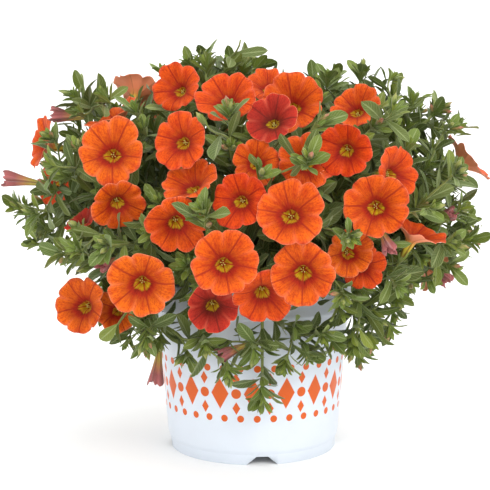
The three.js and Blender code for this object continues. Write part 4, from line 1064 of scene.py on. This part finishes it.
def pollen_material():
    """Waxy pale stigma and pollen sacs: small light dots deep in the throat."""
    material, tree, shader = surface("Stigma and pollen, waxy", Roughness=0.45, IOR=1.4)
    place = add(tree, "TexCoord").outputs["Object"]
    # Pollen grains are far finer; they are drawn 0.7 mm wide.
    grain = add(tree, "TexNoise", {"Vector": place, "Scale": 1500.0, "Detail": 2.0})
    dust = add(tree, "ValToRGB", {"Fac": grain}, [(0.35, "#c4b840"), (0.65, "#e9df98")])
    dress(tree, shader, dust)
    return material


# Rows of the print: motifs round the pot, turned by a share of one, metres off the middle line, half width
# and half height in metres, and the power that makes it a diamond (1) or a dot (2). The height of the first
# row is a setting.
PRINT_ROWS = (
    (18, 0.0, 0.0, 0.0078, None, 1.0), (18, 0.5, 0.0, 0.0042, 0.0042, 2.0),
    (36, 0.25, 0.0215, 0.003, 0.003, 2.0), (18, 0.5, 0.0125, 0.0034, 0.0055, 1.0),
)
PRINT_RADIUS, PRINT_LEAST = 0.082, 0.0795  # of the wall at the print, and what lies within is bare, in metres


def plastic_material(settings):
    """Injection-moulded polypropylene, white with a soft gloss: broad mild highlights over a very slight
    moulding ripple, with a screen-printed band of orange diamonds and dots."""
    material, tree, shader = surface("Moulded polypropylene, printed", IOR=1.49, Specular_IOR_Level=0.45)
    place = add(tree, "TexCoord").outputs["Object"]
    centred = add(tree, "VectorMath", {0: place, 1: tuple(POT_AXIS)}, operation="SUBTRACT")
    x, y, z = add(tree, "SeparateXYZ", {"Vector": centred}).outputs
    angle = add(tree, "Math", {0: x, 1: y}, operation="ARCTAN2")
    height = add(tree, "Math", {0: z, 1: settings.print_height}, operation="SUBTRACT")
    level = add(tree, "Math", {0: height}, operation="ABSOLUTE")
    ink = None
    for count, turn, off, half_width, half_height, power in PRINT_ROWS:
        turns = add(tree, "Math", {0: angle, 1: count / (2 * math.pi), 2: turn + 0.5},
                    operation="MULTIPLY_ADD")
        cell = add(tree, "Math", {0: turns}, operation="FRACT")
        aside = add(tree, "Math", {0: cell, 1: 0.5}, operation="SUBTRACT")
        above = add(tree, "Math", {0: level, 1: off}, operation="SUBTRACT")
        share = 2 * math.pi * PRINT_RADIUS / count / half_width
        sizes = []
        for distance, per_half in ((aside, share), (above, 1 / (half_height or settings.diamond / 2))):
            scaled = add(tree, "Math", {0: distance, 1: per_half}, operation="MULTIPLY")
            size = add(tree, "Math", {0: scaled}, operation="ABSOLUTE")
            sizes.append(add(tree, "Math", {0: size, 1: power}, operation="POWER"))
        total = add(tree, "Math", {0: sizes[0], 1: sizes[1]}, operation="ADD")
        motif = add(tree, "MapRange", {"Value": total, 1: 0.96, 2: 1.04, 3: 1.0, 4: 0.0})
        ink = add(tree, "Math", {0: ink, 1: motif}, operation="MAXIMUM") if ink else motif
    # Only the outside of the wall is printed.
    flat = add(tree, "VectorMath", {0: centred, 1: (1.0, 1.0, 0.0)}, operation="MULTIPLY")
    reach = add(tree, "VectorMath", {0: flat}, operation="LENGTH")
    outside = add(tree, "Math", {0: reach, 1: PRINT_LEAST}, operation="GREATER_THAN")
    printed = add(tree, "Math", {0: ink, 1: outside}, operation="MULTIPLY")
    # Handling leaves the white very slightly uneven, in clouds of 30 mm.
    cloud = add(tree, "TexNoise", {"Vector": place, "Scale": 30.0, "Detail": 3.0})
    white = add(tree, "ValToRGB", {"Fac": cloud}, [
        (0.3, shade(settings.plastic, 0.955)), (0.7, settings.plastic)])
    coloured = add(tree, "Mix", {0: printed, 6: white, 7: settings.ink}, data_type="RGBA")
    gloss = add(tree, "MapRange", {"Value": cloud, 1: 0.3, 2: 0.7, 3: 0.32, 4: 0.42})
    link(tree, gloss, shader.inputs["Roughness"])
    # The moulding ripple is 4 mm across and only just shows in the highlights.
    ripple = add(tree, "TexNoise", {"Vector": place, "Scale": 250.0, "Detail": 2.0})
    dress(tree, shader, coloured, ripple, 0.12, 0.0003)
    return material


def soil_material():
    """Peat potting mix, loose and damp: dark brown crumbs that hardly shine, with paler fibres."""
    material, tree, shader = surface(
        "Potting mix, damp peat", Roughness=0.95, IOR=1.4, Specular_IOR_Level=0.2)
    place = add(tree, "TexCoord").outputs["Object"]
    # Crumbs of 3 mm, and fibres finer than 1 mm.
    crumb = add(tree, "TexVoronoi", {"Vector": place, "Scale": 330.0})
    fibre = add(tree, "TexNoise", {"Vector": place, "Scale": 900.0, "Detail": 5.0})
    peat = add(tree, "ValToRGB", {"Fac": fibre}, [(0.35, "#1d140d"), (0.55, "#3a2c1f"), (0.75, "#6b5238")])
    deep = add(tree, "Mix", {0: crumb, 6: peat, 7: "#120c08"}, data_type="RGBA")
    dress(tree, shader, deep, crumb, 0.9, 0.001)
    return material


def perlite_material():
    """Expanded volcanic glass grains: dull white foam that brightens the soil in specks."""
    material, tree, shader = surface("Perlite, expanded glass foam", Roughness=0.9, IOR=1.5)
    place = add(tree, "TexCoord").outputs["Object"]
    # Pores of about 1 mm.
    pores = add(tree, "TexNoise", {"Vector": place, "Scale": 1200.0, "Detail": 3.0})
    foam = add(tree, "ValToRGB", {"Fac": pores}, [(0.35, "#b8b0a2"), (0.65, "#ece8de")])
    dress(tree, shader, foam)
    return material


def board_material(paint):
    """Painted board: a matt white that hardly shines and throws soft light back."""
    material, tree, shader = surface(
        "Painted board, matt white", Roughness=0.95, IOR=1.45, Specular_IOR_Level=0.1)
    place = add(tree, "TexCoord").outputs["Object"]
    # Very faint clouds of half a metre, as in rolled paint.
    cloud = add(tree, "TexNoise", {"Vector": place, "Scale": 2.0})
    rolled = add(tree, "ValToRGB", {"Fac": cloud}, [(0.3, shade(paint, 0.99)), (0.7, paint)])
    dress(tree, shader, rolled)
    return material


# ---------------------------------------------------------------- operators
class CALIBRACHOA_OT_pot(bpy.types.Operator):
    """Builds the moulded pot with its rim band, foot ring, notches and printed band"""
    bl_idname = "calibrachoa.pot"
    bl_label = "Pot"

    def profile(self):
        """The wall's outline, as radii and heights, from the middle of the underside round to the inside."""
        foot, step, heel, heel_at = POT["foot"], POT["foot_height"], POT["heel"], POT["heel_at"]
        waist, waist_at, neck, rim_from = POT["waist"], POT["waist_at"], POT["neck"], POT["rim_from"]
        rim, top, wall, floor = POT["rim"], POT["height"], POT["wall"], POT["floor_at"]
        inside = floor + POT["floor_thick"]
        return np.array([
            # The floor's underside and the inner face of the foot ring.
            (0.01, floor), (30, floor), (60, floor), (foot - 5.3, floor), (foot - 4.2, floor - 0.6),
            (foot - 3.6, 5), (foot - 2.9, 0.6),
            # The ring that the pot stands on, and its step up to the heel.
            (foot - 2.4, 0), (foot - 0.5, 0), (foot, 0.5), (foot, step - 0.8), (foot + 0.3, step),
            (foot + 1.2, step + 1.2), (foot + 2, step + 3.8), (foot + 2.7, step + 8), (heel, heel_at),
            # The wall.
            (80.6, 46), (82.1, 65), (waist, waist_at), (85.4, 105), (neck - 0.1, rim_from - 1.4),
            (neck + 0.2, rim_from - 0.2),
            # The rim band and its rounded lip.
            (rim - 0.8, rim_from), (rim - 0.1, rim_from + 0.6), (rim + 0.1, 128), (rim + 0.35, 140),
            (rim + 0.5, top - 2.6), (rim + 0.3, top - 1), (rim - 0.5, top - 0.1), (rim - 1.7, top),
            (rim - 2.8, top - 0.2), (rim - 3.2, top - 1),
            # Down the inside and over the floor.
            (neck - wall, rim_from), (waist - wall, waist_at), (heel - wall, heel_at),
            (foot - 0.3, inside + 0.8), (foot - 1.5, inside), (0.01, inside),
        ]).T

    def notched(self, radius, z):
        """The wall's points, with the foot ring raised at the notches."""
        notches, turn, half = POT["notches"], POT["notch_turn"], 180 / POT["notches"]
        corners = [turn + 2 * half * k + side * degrees
                   for k in range(notches) for side in (-1, 1) for degrees in NOTCH_CORNERS]
        steps = [np.arange(0, 360, 2.25), np.array(corners) % 360]
        angles = np.radians(np.unique(np.round(np.concatenate(steps), 3)))
        # Degrees from the middle of the nearest notch; the first lies in front and a little to the right.
        offset = (np.degrees(angles) - turn + half) % (2 * half) - half
        run = np.abs(np.radians(offset)) * POT["foot"]
        notch = np.interp(run, [POT["notch_top"] / 2, POT["notch_wide"] / 2], [POT["notch_high"], 0])
        direction = angles - math.pi / 2
        radius, z = radius[:, None], z[:, None]
        in_ring = (radius > POT["foot"] - 5) & (z < POT["floor_at"])
        heights = np.maximum(z, np.where(in_ring, notch[None, :], 0))
        return triple(radius * np.cos(direction), radius * np.sin(direction), heights)

    def drains(self):
        """Rods that stand where the floor has its drain holes."""
        rods = Skin()
        around = np.arange(DRAIN_SIDES) / DRAIN_SIDES * 2 * math.pi
        low, high = POT["floor_at"] / 2, POT["floor_at"] + 5
        for k in range(4):
            turn = math.radians(45 + 90 * k)
            x, y = math.cos(turn) * POT["drain_ring"], math.sin(turn) * POT["drain_ring"]
            rings = [[(x + r * math.cos(a), y + r * math.sin(a), z) for a in around]
                     for r, z in ((0.01, low), (POT["drain"], low), (POT["drain"], high), (0.01, high))]
            rods.lay(rings, grid(4, DRAIN_SIDES, True)[:, ::-1], 0)
        mesh = bpy.data.meshes.new("drains")
        points = np.concatenate(rods.points) * MM + POT_AXIS
        mesh.from_pydata(points.tolist(), [], np.concatenate(rods.faces).tolist())
        return put("drains", mesh)

    def execute(self, context):
        points = self.notched(*self.profile())
        plastic = plastic_material(context.scene.potted_plant.pot)
        skin = Skin()
        skin.lay(points, grid(*points.shape[:2], True), 0)
        pot = skin.piece("pot_moulding", [plastic], "pot_plastic", "pot")
        tool = self.drains()
        cut = pot.modifiers.new("drains", "BOOLEAN")
        cut.object, cut.operation, cut.solver = tool, "DIFFERENCE", "FAST"
        pierced = bpy.data.meshes.new_from_object(pot.evaluated_get(context.evaluated_depsgraph_get()))
        if len(pierced.polygons) < 0.8 * len(pot.data.polygons):
            raise RuntimeError("the drain holes could not be cut from the pot's floor")
        pot.modifiers.clear()
        pierced.name = "pot_moulding"
        pot.data = pierced
        bpy.data.objects.remove(tool)
        return {"FINISHED"}


class CALIBRACHOA_OT_soil(bpy.types.Operator):
    """Fills the pot with crumbly potting soil and perlite"""
    bl_idname = "calibrachoa.soil"
    bl_label = "Potting soil"

    def execute(self, context):
        rng = np.random.default_rng(SEEDS["soil"])
        reach = SOIL["reach"]
        radius = np.concatenate([np.linspace(0.02, 1, SOIL["rings"]) * reach, SOIL["side_radii"]])[:, None]
        angles = np.arange(SOIL["sides"]) / SOIL["sides"] * 2 * math.pi
        x, y = radius * np.cos(angles), radius * np.sin(angles)
        # Swells of the surface: millimetres high, and radians in each millimetre of x and y.
        swells = ((1.1, 0.11, 0.17), (0.8, -0.23, 0.13), (0.6, 0.41, -0.31), (0.5, 0.05, 0.52))
        swell = sum(high * np.sin(x * across + y * along + phase)
                    for (high, across, along), phase in zip(swells, rng.uniform(0, 6, len(swells))))
        dome = SOIL["top"] + SOIL["domed"] * (1 - (radius / reach) ** 2)
        z = dome + swell * 0.7 + rng.normal(0, 0.45, x.shape) - 0.9
        z[SOIL["rings"]:] = np.array(SOIL["side_heights"])[:, None]
        skin = Skin()
        skin.lay(triple(x, y, z), grid(len(radius), SOIL["sides"], True), 0)
        # Loose crumbs and grains lie half sunk in the surface; every sixth is perlite.
        ball = np.array([[math.cos(a) * r, math.sin(a) * r, h]
                         for h, r in ((-1, 0.02), (-0.5, 0.85), (0.4, 0.9), (1, 0.02))
                         for a in np.arange(6) * math.pi / 3])
        for i in range(SOIL["crumbs"]):
            away, angle = 82 * math.sqrt(rng.uniform()), rng.uniform(0, 2 * math.pi)
            size = rng.uniform(0.7, 2.4)
            height = SOIL["top"] + SOIL["domed"] * (1 - (away / reach) ** 2) - 0.4
            lump = ball * rng.uniform(0.6, 1.3, 3) * size * rng.uniform(0.8, 1.2, (24, 1))
            lump = lump + (away * math.cos(angle), away * math.sin(angle), height)
            skin.lay(lump, grid(4, 6, True), int(i % 6 == 0))
        skin.piece("soil_surface", [soil_material(), perlite_material()], "soil", "potting_soil")
        return {"FINISHED"}


class CALIBRACHOA_OT_leafy_stems(bpy.types.Operator):
    """Builds the stems with their branches, twigs, leaves, sepals and buds"""
    bl_idname = "calibrachoa.leafy_stems"
    bl_label = "Leafy stems"

    def lay_branch(self, skin, branch):
        """A side shoot, or a flower's stalk with its calyx cup."""
        flower = branch.flower
        if flower is None:
            lay_tube(skin, branch.smooth, (TWIG["root"], TWIG["tip"]), 6, 10)
            return
        lay_tube(skin, branch.smooth, (TWIG["root"], 0.85, 0.85, CALYX["stalk"]), 6, 10)
        wide = 2.3 if hasattr(flower, "across") else 1.9
        cup = (0.9, 1.6, wide, wide + 0.3, wide + 0.2)
        lay_bulb(skin, flower.calyx_end, flower.axis, CALYX["long"], cup, 10, STEM_FINISH)

    def large_leaf(self, rng, leaf):
        """A leaf that stands in the place of one of the solid's."""
        length = leaf.length * 0.95
        return leaf_rows(
            leaf.base[None], leaf.direction[None], leaf.normal[None], length, length * LEAF["width"],
            LEAF["droop"] * rng.uniform(0.6, 1.4), 0.28, rng.normal(0, 0.2), max(0, leaf.t - 0.7) * 1.6,
            rng.uniform())

    def execute(self, context):
        settings = context.scene.potted_plant.foliage
        growth = fine_foliage(settings.leaf_length / MM, settings.twigs)
        finishes = [
            leaf_material(settings.leaf, settings.young_leaf), stem_material(settings.stem), bud_material()]
        rng = np.random.default_rng(SEEDS["large leaves"])
        for i, stem in enumerate(layout().stems):
            skin = Skin()
            grown = growth[stem.node]
            root = stem.curve[0]
            foot = root - UP * SOIL["hole_depth"]
            straight = np.array([foot, foot + UP * 6, foot + UP * 13, root + UP * 0.5])
            lay_tube(skin, straight, (STEM["base"], STEM["base"]), 8, 3)
            lay_tube(skin, stem.curve, (STEM["base"], STEM["middle"], STEM["tip"]), 8, 20)
            for branch in stem.branches:
                self.lay_branch(skin, branch)
            for curve in grown.tubes:
                lay_tube(skin, curve, (1.05, 0.7), 5, 7)
            large = [self.large_leaf(rng, leaf) for leaf in stem.leaves]
            lay_leaves(skin, np.concatenate([rows for rows in (*large, *grown.leaves) if len(rows)]))
            for base, axis, length, age, roll in grown.buds:
                lay_bulb(skin, base, axis, length, (1.0 + 0.09 * length) * BUD_PROFILE, 10, BUD_FINISH, age,
                         pleats=0.1, twist=0.5, roll=roll)
            skin.piece(f"stem_{i + 1:02d}_foliage", finishes, "foliage", stem.node)
        return {"FINISHED"}


class CALIBRACHOA_OT_blooms(bpy.types.Operator):
    """Builds the open blooms, each a funnel of five joined and notched lobes"""
    bl_idname = "calibrachoa.blooms"
    bl_label = "Open blooms"

    def pressed(self, points, under, front):
        """Points moved back behind the petals of the blooms in front, which they would otherwise pierce."""
        for other in front:
            height, reach = along_and_off(points - other.throat, other.axis)
            inner = FLOWER["throat"] * other.across
            share = np.clip((reach - inner) / (other.across / 2 - inner), 0, 1)
            room = (petal_height(share) - 0.05 * share**2) * other.across - 1.2 - under
            near = np.clip(11 - reach / (0.05 * other.across), 0, 1) * np.clip((room + 20 - height) / 8, 0, 1)
            near = near * (height > room)
            points = points - other.axis * (near * (height - room))[..., None]
        return points

    def lay_bloom(self, skin, bloom, rng, red, thickness, front):
        """One bloom: the face from the bottom of the tube to the rim, over it, and down the back."""
        across, up = sideways(bloom.axis)
        wide, lobes = bloom.across, FLOWER["lobes"]
        angle = np.arange(PETAL["columns"]) / PETAL["columns"] * 2 * math.pi
        turned = angle + bloom.roll
        lobe = angle / (2 * math.pi) * lobes
        aside = np.abs((lobe % 1) - 0.5) * 2  # 0 in the middle of a lobe, 1 in a seam
        index = np.floor(lobe).astype(int) % lobes
        curls = np.array(bloom.curls)
        beside = np.where(lobe % 1 < 0.5, (index - 1) % lobes, (index + 1) % lobes)
        curl = curls[index] + (curls[beside] - curls[index]) * 0.5 * np.clip((aside - 0.4) / 0.6, 0, 1) ** 2
        phases = rng.uniform(0, 2 * math.pi, 6)
        edge = 1 - PETAL["notch"] * np.exp(-(aside / 0.25) ** 2) - PETAL["seam"] * aside**6
        edge = edge + 0.03 * np.sin(2 * angle + phases[3]) + 0.016 * np.sin(9 * angle + phases[4])
        edge = edge + 0.009 * np.sin(16 * angle + phases[5])
        edge = edge * (1 + PETAL["uneven"] * rng.normal(0, 1, lobes)[index] * (1 - aside**2))
        flare = rng.normal(0, PETAL["flare"], lobes)[index] * (1 - aside**2)
        inner = FLOWER["throat"] * wide
        points, marks, tints = [], [], []

        def ring(reach, height, out, back):
            where = bloom.throat + bloom.axis * np.asarray(height)[..., None]
            where = where + np.outer(reach * np.cos(turned), across) + np.outer(reach * np.sin(turned), up)
            points.append(self.pressed(where, 1.6 * back, front))
            marks.append(triple(out, aside, back))
            tints.append(triple(red, np.cos(turned), -np.sin(turned)))

        def face(share, under, back):
            ripple = 0.022 * np.sin(2 * angle + phases[0]) + 0.017 * np.sin(7 * angle + phases[1])
            ripple = ripple + 0.012 * np.sin(13 * angle + phases[2]) * share + flare * share**3
            fold = PETAL["fold"] * (np.exp(-(aside / 0.2) ** 2) * share * (1.3 - share) + aside**5 * share)
            height = (petal_height(share) - curl * share**2 + ripple * share**2.5 - fold) * wide - under
            reach = inner + (wide / 2 - inner) * share * (1 + (edge - 1) * share**1.5)
            ring(reach, height, 0.25 + 0.75 * share, back)

        for depth, girth, out in THROAT:
            ring(np.full(len(angle), girth * wide), np.full(len(angle), -depth * wide), out, 0)
        for share in LIMB:
            face(share, 0.0, 0)
        for share in LIMB[::-2]:
            face(share, thickness if share < 1 else thickness * 0.8, 1)
        for depth, girth, out in TUBE:
            ring(np.full(len(angle), girth * wide + 0.5), np.full(len(angle), -depth * wide), out, 1)
        skin.lay(np.array(points), grid(len(points), len(angle), True), 0, np.concatenate(marks),
                 np.concatenate(tints))
        # The stigma and the pollen sacs round it stand in the mouth of the tube.
        for k in range(lobes):
            turn = bloom.roll + k * 2 * math.pi / lobes
            off, longer = (0.034 * wide, 0.0) if k else (0.0, 1.0)
            where = bloom.throat + off * (across * math.cos(turn) + up * math.sin(turn))
            where = where - bloom.axis * 0.09 * wide
            lay_bulb(skin, where, bloom.axis, 0.07 * wide + longer, SAC_PROFILE, 8, 1)

    def execute(self, context):
        settings = context.scene.potted_plant.flower
        rng = np.random.default_rng(SEEDS["blooms"])
        throat, crimson = settings.throat, settings.crimson
        orange = petal_material("Orange petal, velvety", settings.petal_heart, settings.petal,
                                settings.petal_edge, throat, "#f48a90")
        dark = petal_material("Crimson petal, velvety", shade(crimson, 0.35), shade(crimson, 0.85),
                              shade(crimson, 1.15), throat, "#f0a8a8")
        pollen = pollen_material()
        blooms = layout().blooms
        faces = [b.throat + b.axis * FLOWER["rise"] * b.across for b in blooms]
        # Where two blooms press together, the one nearer to the front lies over the other.
        fronts = [[other for other, theirs in zip(blooms, faces)
                   if other.node == bloom.node and theirs[1] < face[1]
                   and np.linalg.norm(theirs - face) < 0.5 * (other.across + bloom.across)]
                  for bloom, face in zip(blooms, faces)]
        reds = [*REDNESS, *rng.uniform(0, 0.6, len(blooms) - len(REDNESS))]
        for node in dict.fromkeys(b.node for b in blooms):
            skin = Skin()
            for bloom, red, front in zip(blooms, reds, fronts):
                if bloom.node == node:
                    self.lay_bloom(skin, bloom, rng, red, settings.petal_thickness / MM, front)
            skin.piece(f"{node}_petals", [dark if node in CRIMSON[1:] else orange, pollen],
                       "crimson_petal" if node in CRIMSON else "orange_petal", node)
        return {"FINISHED"}


class CALIBRACHOA_OT_spent_blooms(bpy.types.Operator):
    """Builds the withered blooms, rolled up round their tubes"""
    bl_idname = "calibrachoa.spent_blooms"
    bl_label = "Spent blooms"

    def execute(self, context):
        finish = spent_material(context.scene.potted_plant.flower.spent)
        rng = np.random.default_rng(SEEDS["spent"])
        for flower in layout().spent:
            skin = Skin()
            wide = 0.5 + 0.5 * flower.length / 34
            lay_bulb(skin, flower.tube_base - flower.axis * 1.5, flower.axis, flower.length + 1.2,
                     SPENT_PROFILE * wide, 60, 0, rng.uniform(), pleats=0.3, twist=rng.uniform(0.3, 0.8),
                     roll=rng.uniform(0, 6), along=SPENT_ALONG, crumple=1.9 * wide)
            skin.piece(f"{flower.node}_petals", [finish], "spent_petal", flower.node)
        return {"FINISHED"}


class CALIBRACHOA_OT_stage(bpy.types.Operator):
    """Sets the plain pale floor, the soft lights and the camera"""
    bl_idname = "calibrachoa.stage"
    bl_label = "Stage"

    def lay_floor(self, paint):
        """A floor that sweeps up into a backdrop."""
        far, bend = BACKDROP["far"], BACKDROP["bend"]
        turns = np.linspace(0.1, math.pi / 2, 12)
        sweep = [(far + bend * math.sin(turn), bend - bend * math.cos(turn)) for turn in turns]
        line = [(BACKDROP["near"], 0.0), (far, 0.0), *sweep, (far + bend, BACKDROP["top"])]
        mesh = bpy.data.meshes.new("studio_floor")
        points = [(x, y, z) for y, z in line for x in (-BACKDROP["half_width"], BACKDROP["half_width"])]
        mesh.from_pydata(points, [], grid(len(line), 2).tolist())
        mesh.shade_smooth()
        mesh.materials.append(board_material(paint))
        put("studio_floor", mesh)

    def light_surround(self, scene, strength):
        """A surround that is white at the horizon and brightens overhead, as under a wide soft box."""
        world = bpy.data.worlds.new("Soft white surround")
        world.use_nodes = True
        tree = world.node_tree
        background = tree.nodes["Background"]
        background.inputs["Color"].default_value = linear("#fdfeff")
        direction = add(tree, "TexCoord").outputs["Generated"]
        height = add(tree, "SeparateXYZ", {"Vector": direction}).outputs["Z"]
        glow = add(tree, "MapRange", {"Value": height, 1: 0.1, 2: 1.0, 3: strength, 4: 1.5 * strength})
        link(tree, glow, background.inputs["Strength"])
        scene.world = world

    def hang_lamp(self, name, place, aim_at, size, power):
        """A square soft lamp that is aimed at a place."""
        data = bpy.data.lights.new(name, "AREA")
        data.energy, data.size, data.color = power, size, linear("#fffaf4")[:3]
        lamp = put(name, data)
        lamp.location = place
        x, y, z = np.array(aim_at) - np.array(place)
        pitch, yaw = math.atan2(z, math.hypot(x, y)), math.atan2(y, x)
        lamp.rotation_euler = (math.pi / 2 + pitch, 0, yaw - math.pi / 2)

    def execute(self, context):
        settings = context.scene.potted_plant.stage
        scene = context.scene
        self.lay_floor(settings.floor)
        self.light_surround(scene, settings.sky)
        scene.view_settings.view_transform = "Standard"
        centre, behind = (0, 0, 0.2), (0, 3.0, 0.6)
        self.hang_lamp("Key lamp", (0.75, -1.25, 1.15), centre, 0.8, settings.key)
        self.hang_lamp("Front lamp", (-0.35, -1.6, 0.75), centre, 0.9, 0.35 * settings.key)
        self.hang_lamp("Left backdrop lamp", (-1.6, 1.6, 2.0), behind, 0.8, settings.backdrop)
        self.hang_lamp("Right backdrop lamp", (1.6, 1.6, 2.0), behind, 0.8, settings.backdrop)
        data = bpy.data.cameras.new("Camera")
        data.lens, data.sensor_width = CAMERA["lens"], CAMERA["sensor"]
        camera = put("Camera", data)
        camera.location = tuple(EYE * MM + POT_AXIS)
        camera.rotation_euler = (math.radians(90 - CAMERA["down"]), 0, math.radians(CAMERA["left"]))
        scene.camera = camera
        return {"FINISHED"}


class CALIBRACHOA_PT_panel(bpy.types.Panel):
    """Lists the plant's settings and the steps that build it"""
    bl_idname = "CALIBRACHOA_PT_panel"
    bl_label = "Potted calibrachoa"
    bl_space_type = "VIEW_3D"
    bl_region_type = "UI"
    bl_category = "Potted plant"

    def draw(self, context):
        settings = context.scene.potted_plant
        for title, group in (("Pot", settings.pot), ("Flowers", settings.flower),
                             ("Foliage", settings.foliage), ("Stage", settings.stage)):
            box = self.layout.box()
            box.label(text=title)
            for name in group.__annotations__:
                box.prop(group, name)
        for step in OPERATORS:
            self.layout.operator(step.bl_idname)


OPERATORS = (
    CALIBRACHOA_OT_pot, CALIBRACHOA_OT_soil, CALIBRACHOA_OT_leafy_stems, CALIBRACHOA_OT_blooms,
    CALIBRACHOA_OT_spent_blooms, CALIBRACHOA_OT_stage,
)
CLASSES = (PotSettings, FlowerSettings, FoliageSettings, StageSettings, PottedPlantSettings, *OPERATORS,
           CALIBRACHOA_PT_panel)


def register():
    for cls in CLASSES:
        bpy.utils.register_class(cls)
    bpy.types.Scene.potted_plant = bpy.props.PointerProperty(type=PottedPlantSettings)


def unregister():
    del bpy.types.Scene.potted_plant
    for cls in reversed(CLASSES):
        bpy.utils.unregister_class(cls)


def main():
    """Builds the whole plant on its stage."""
    register()
    bpy.ops.calibrachoa.pot()
    bpy.ops.calibrachoa.soil()
    bpy.ops.calibrachoa.leafy_stems()
    bpy.ops.calibrachoa.blooms()
    bpy.ops.calibrachoa.spent_blooms()
    bpy.ops.calibrachoa.stage()


if __name__ == "__main__":
    main()
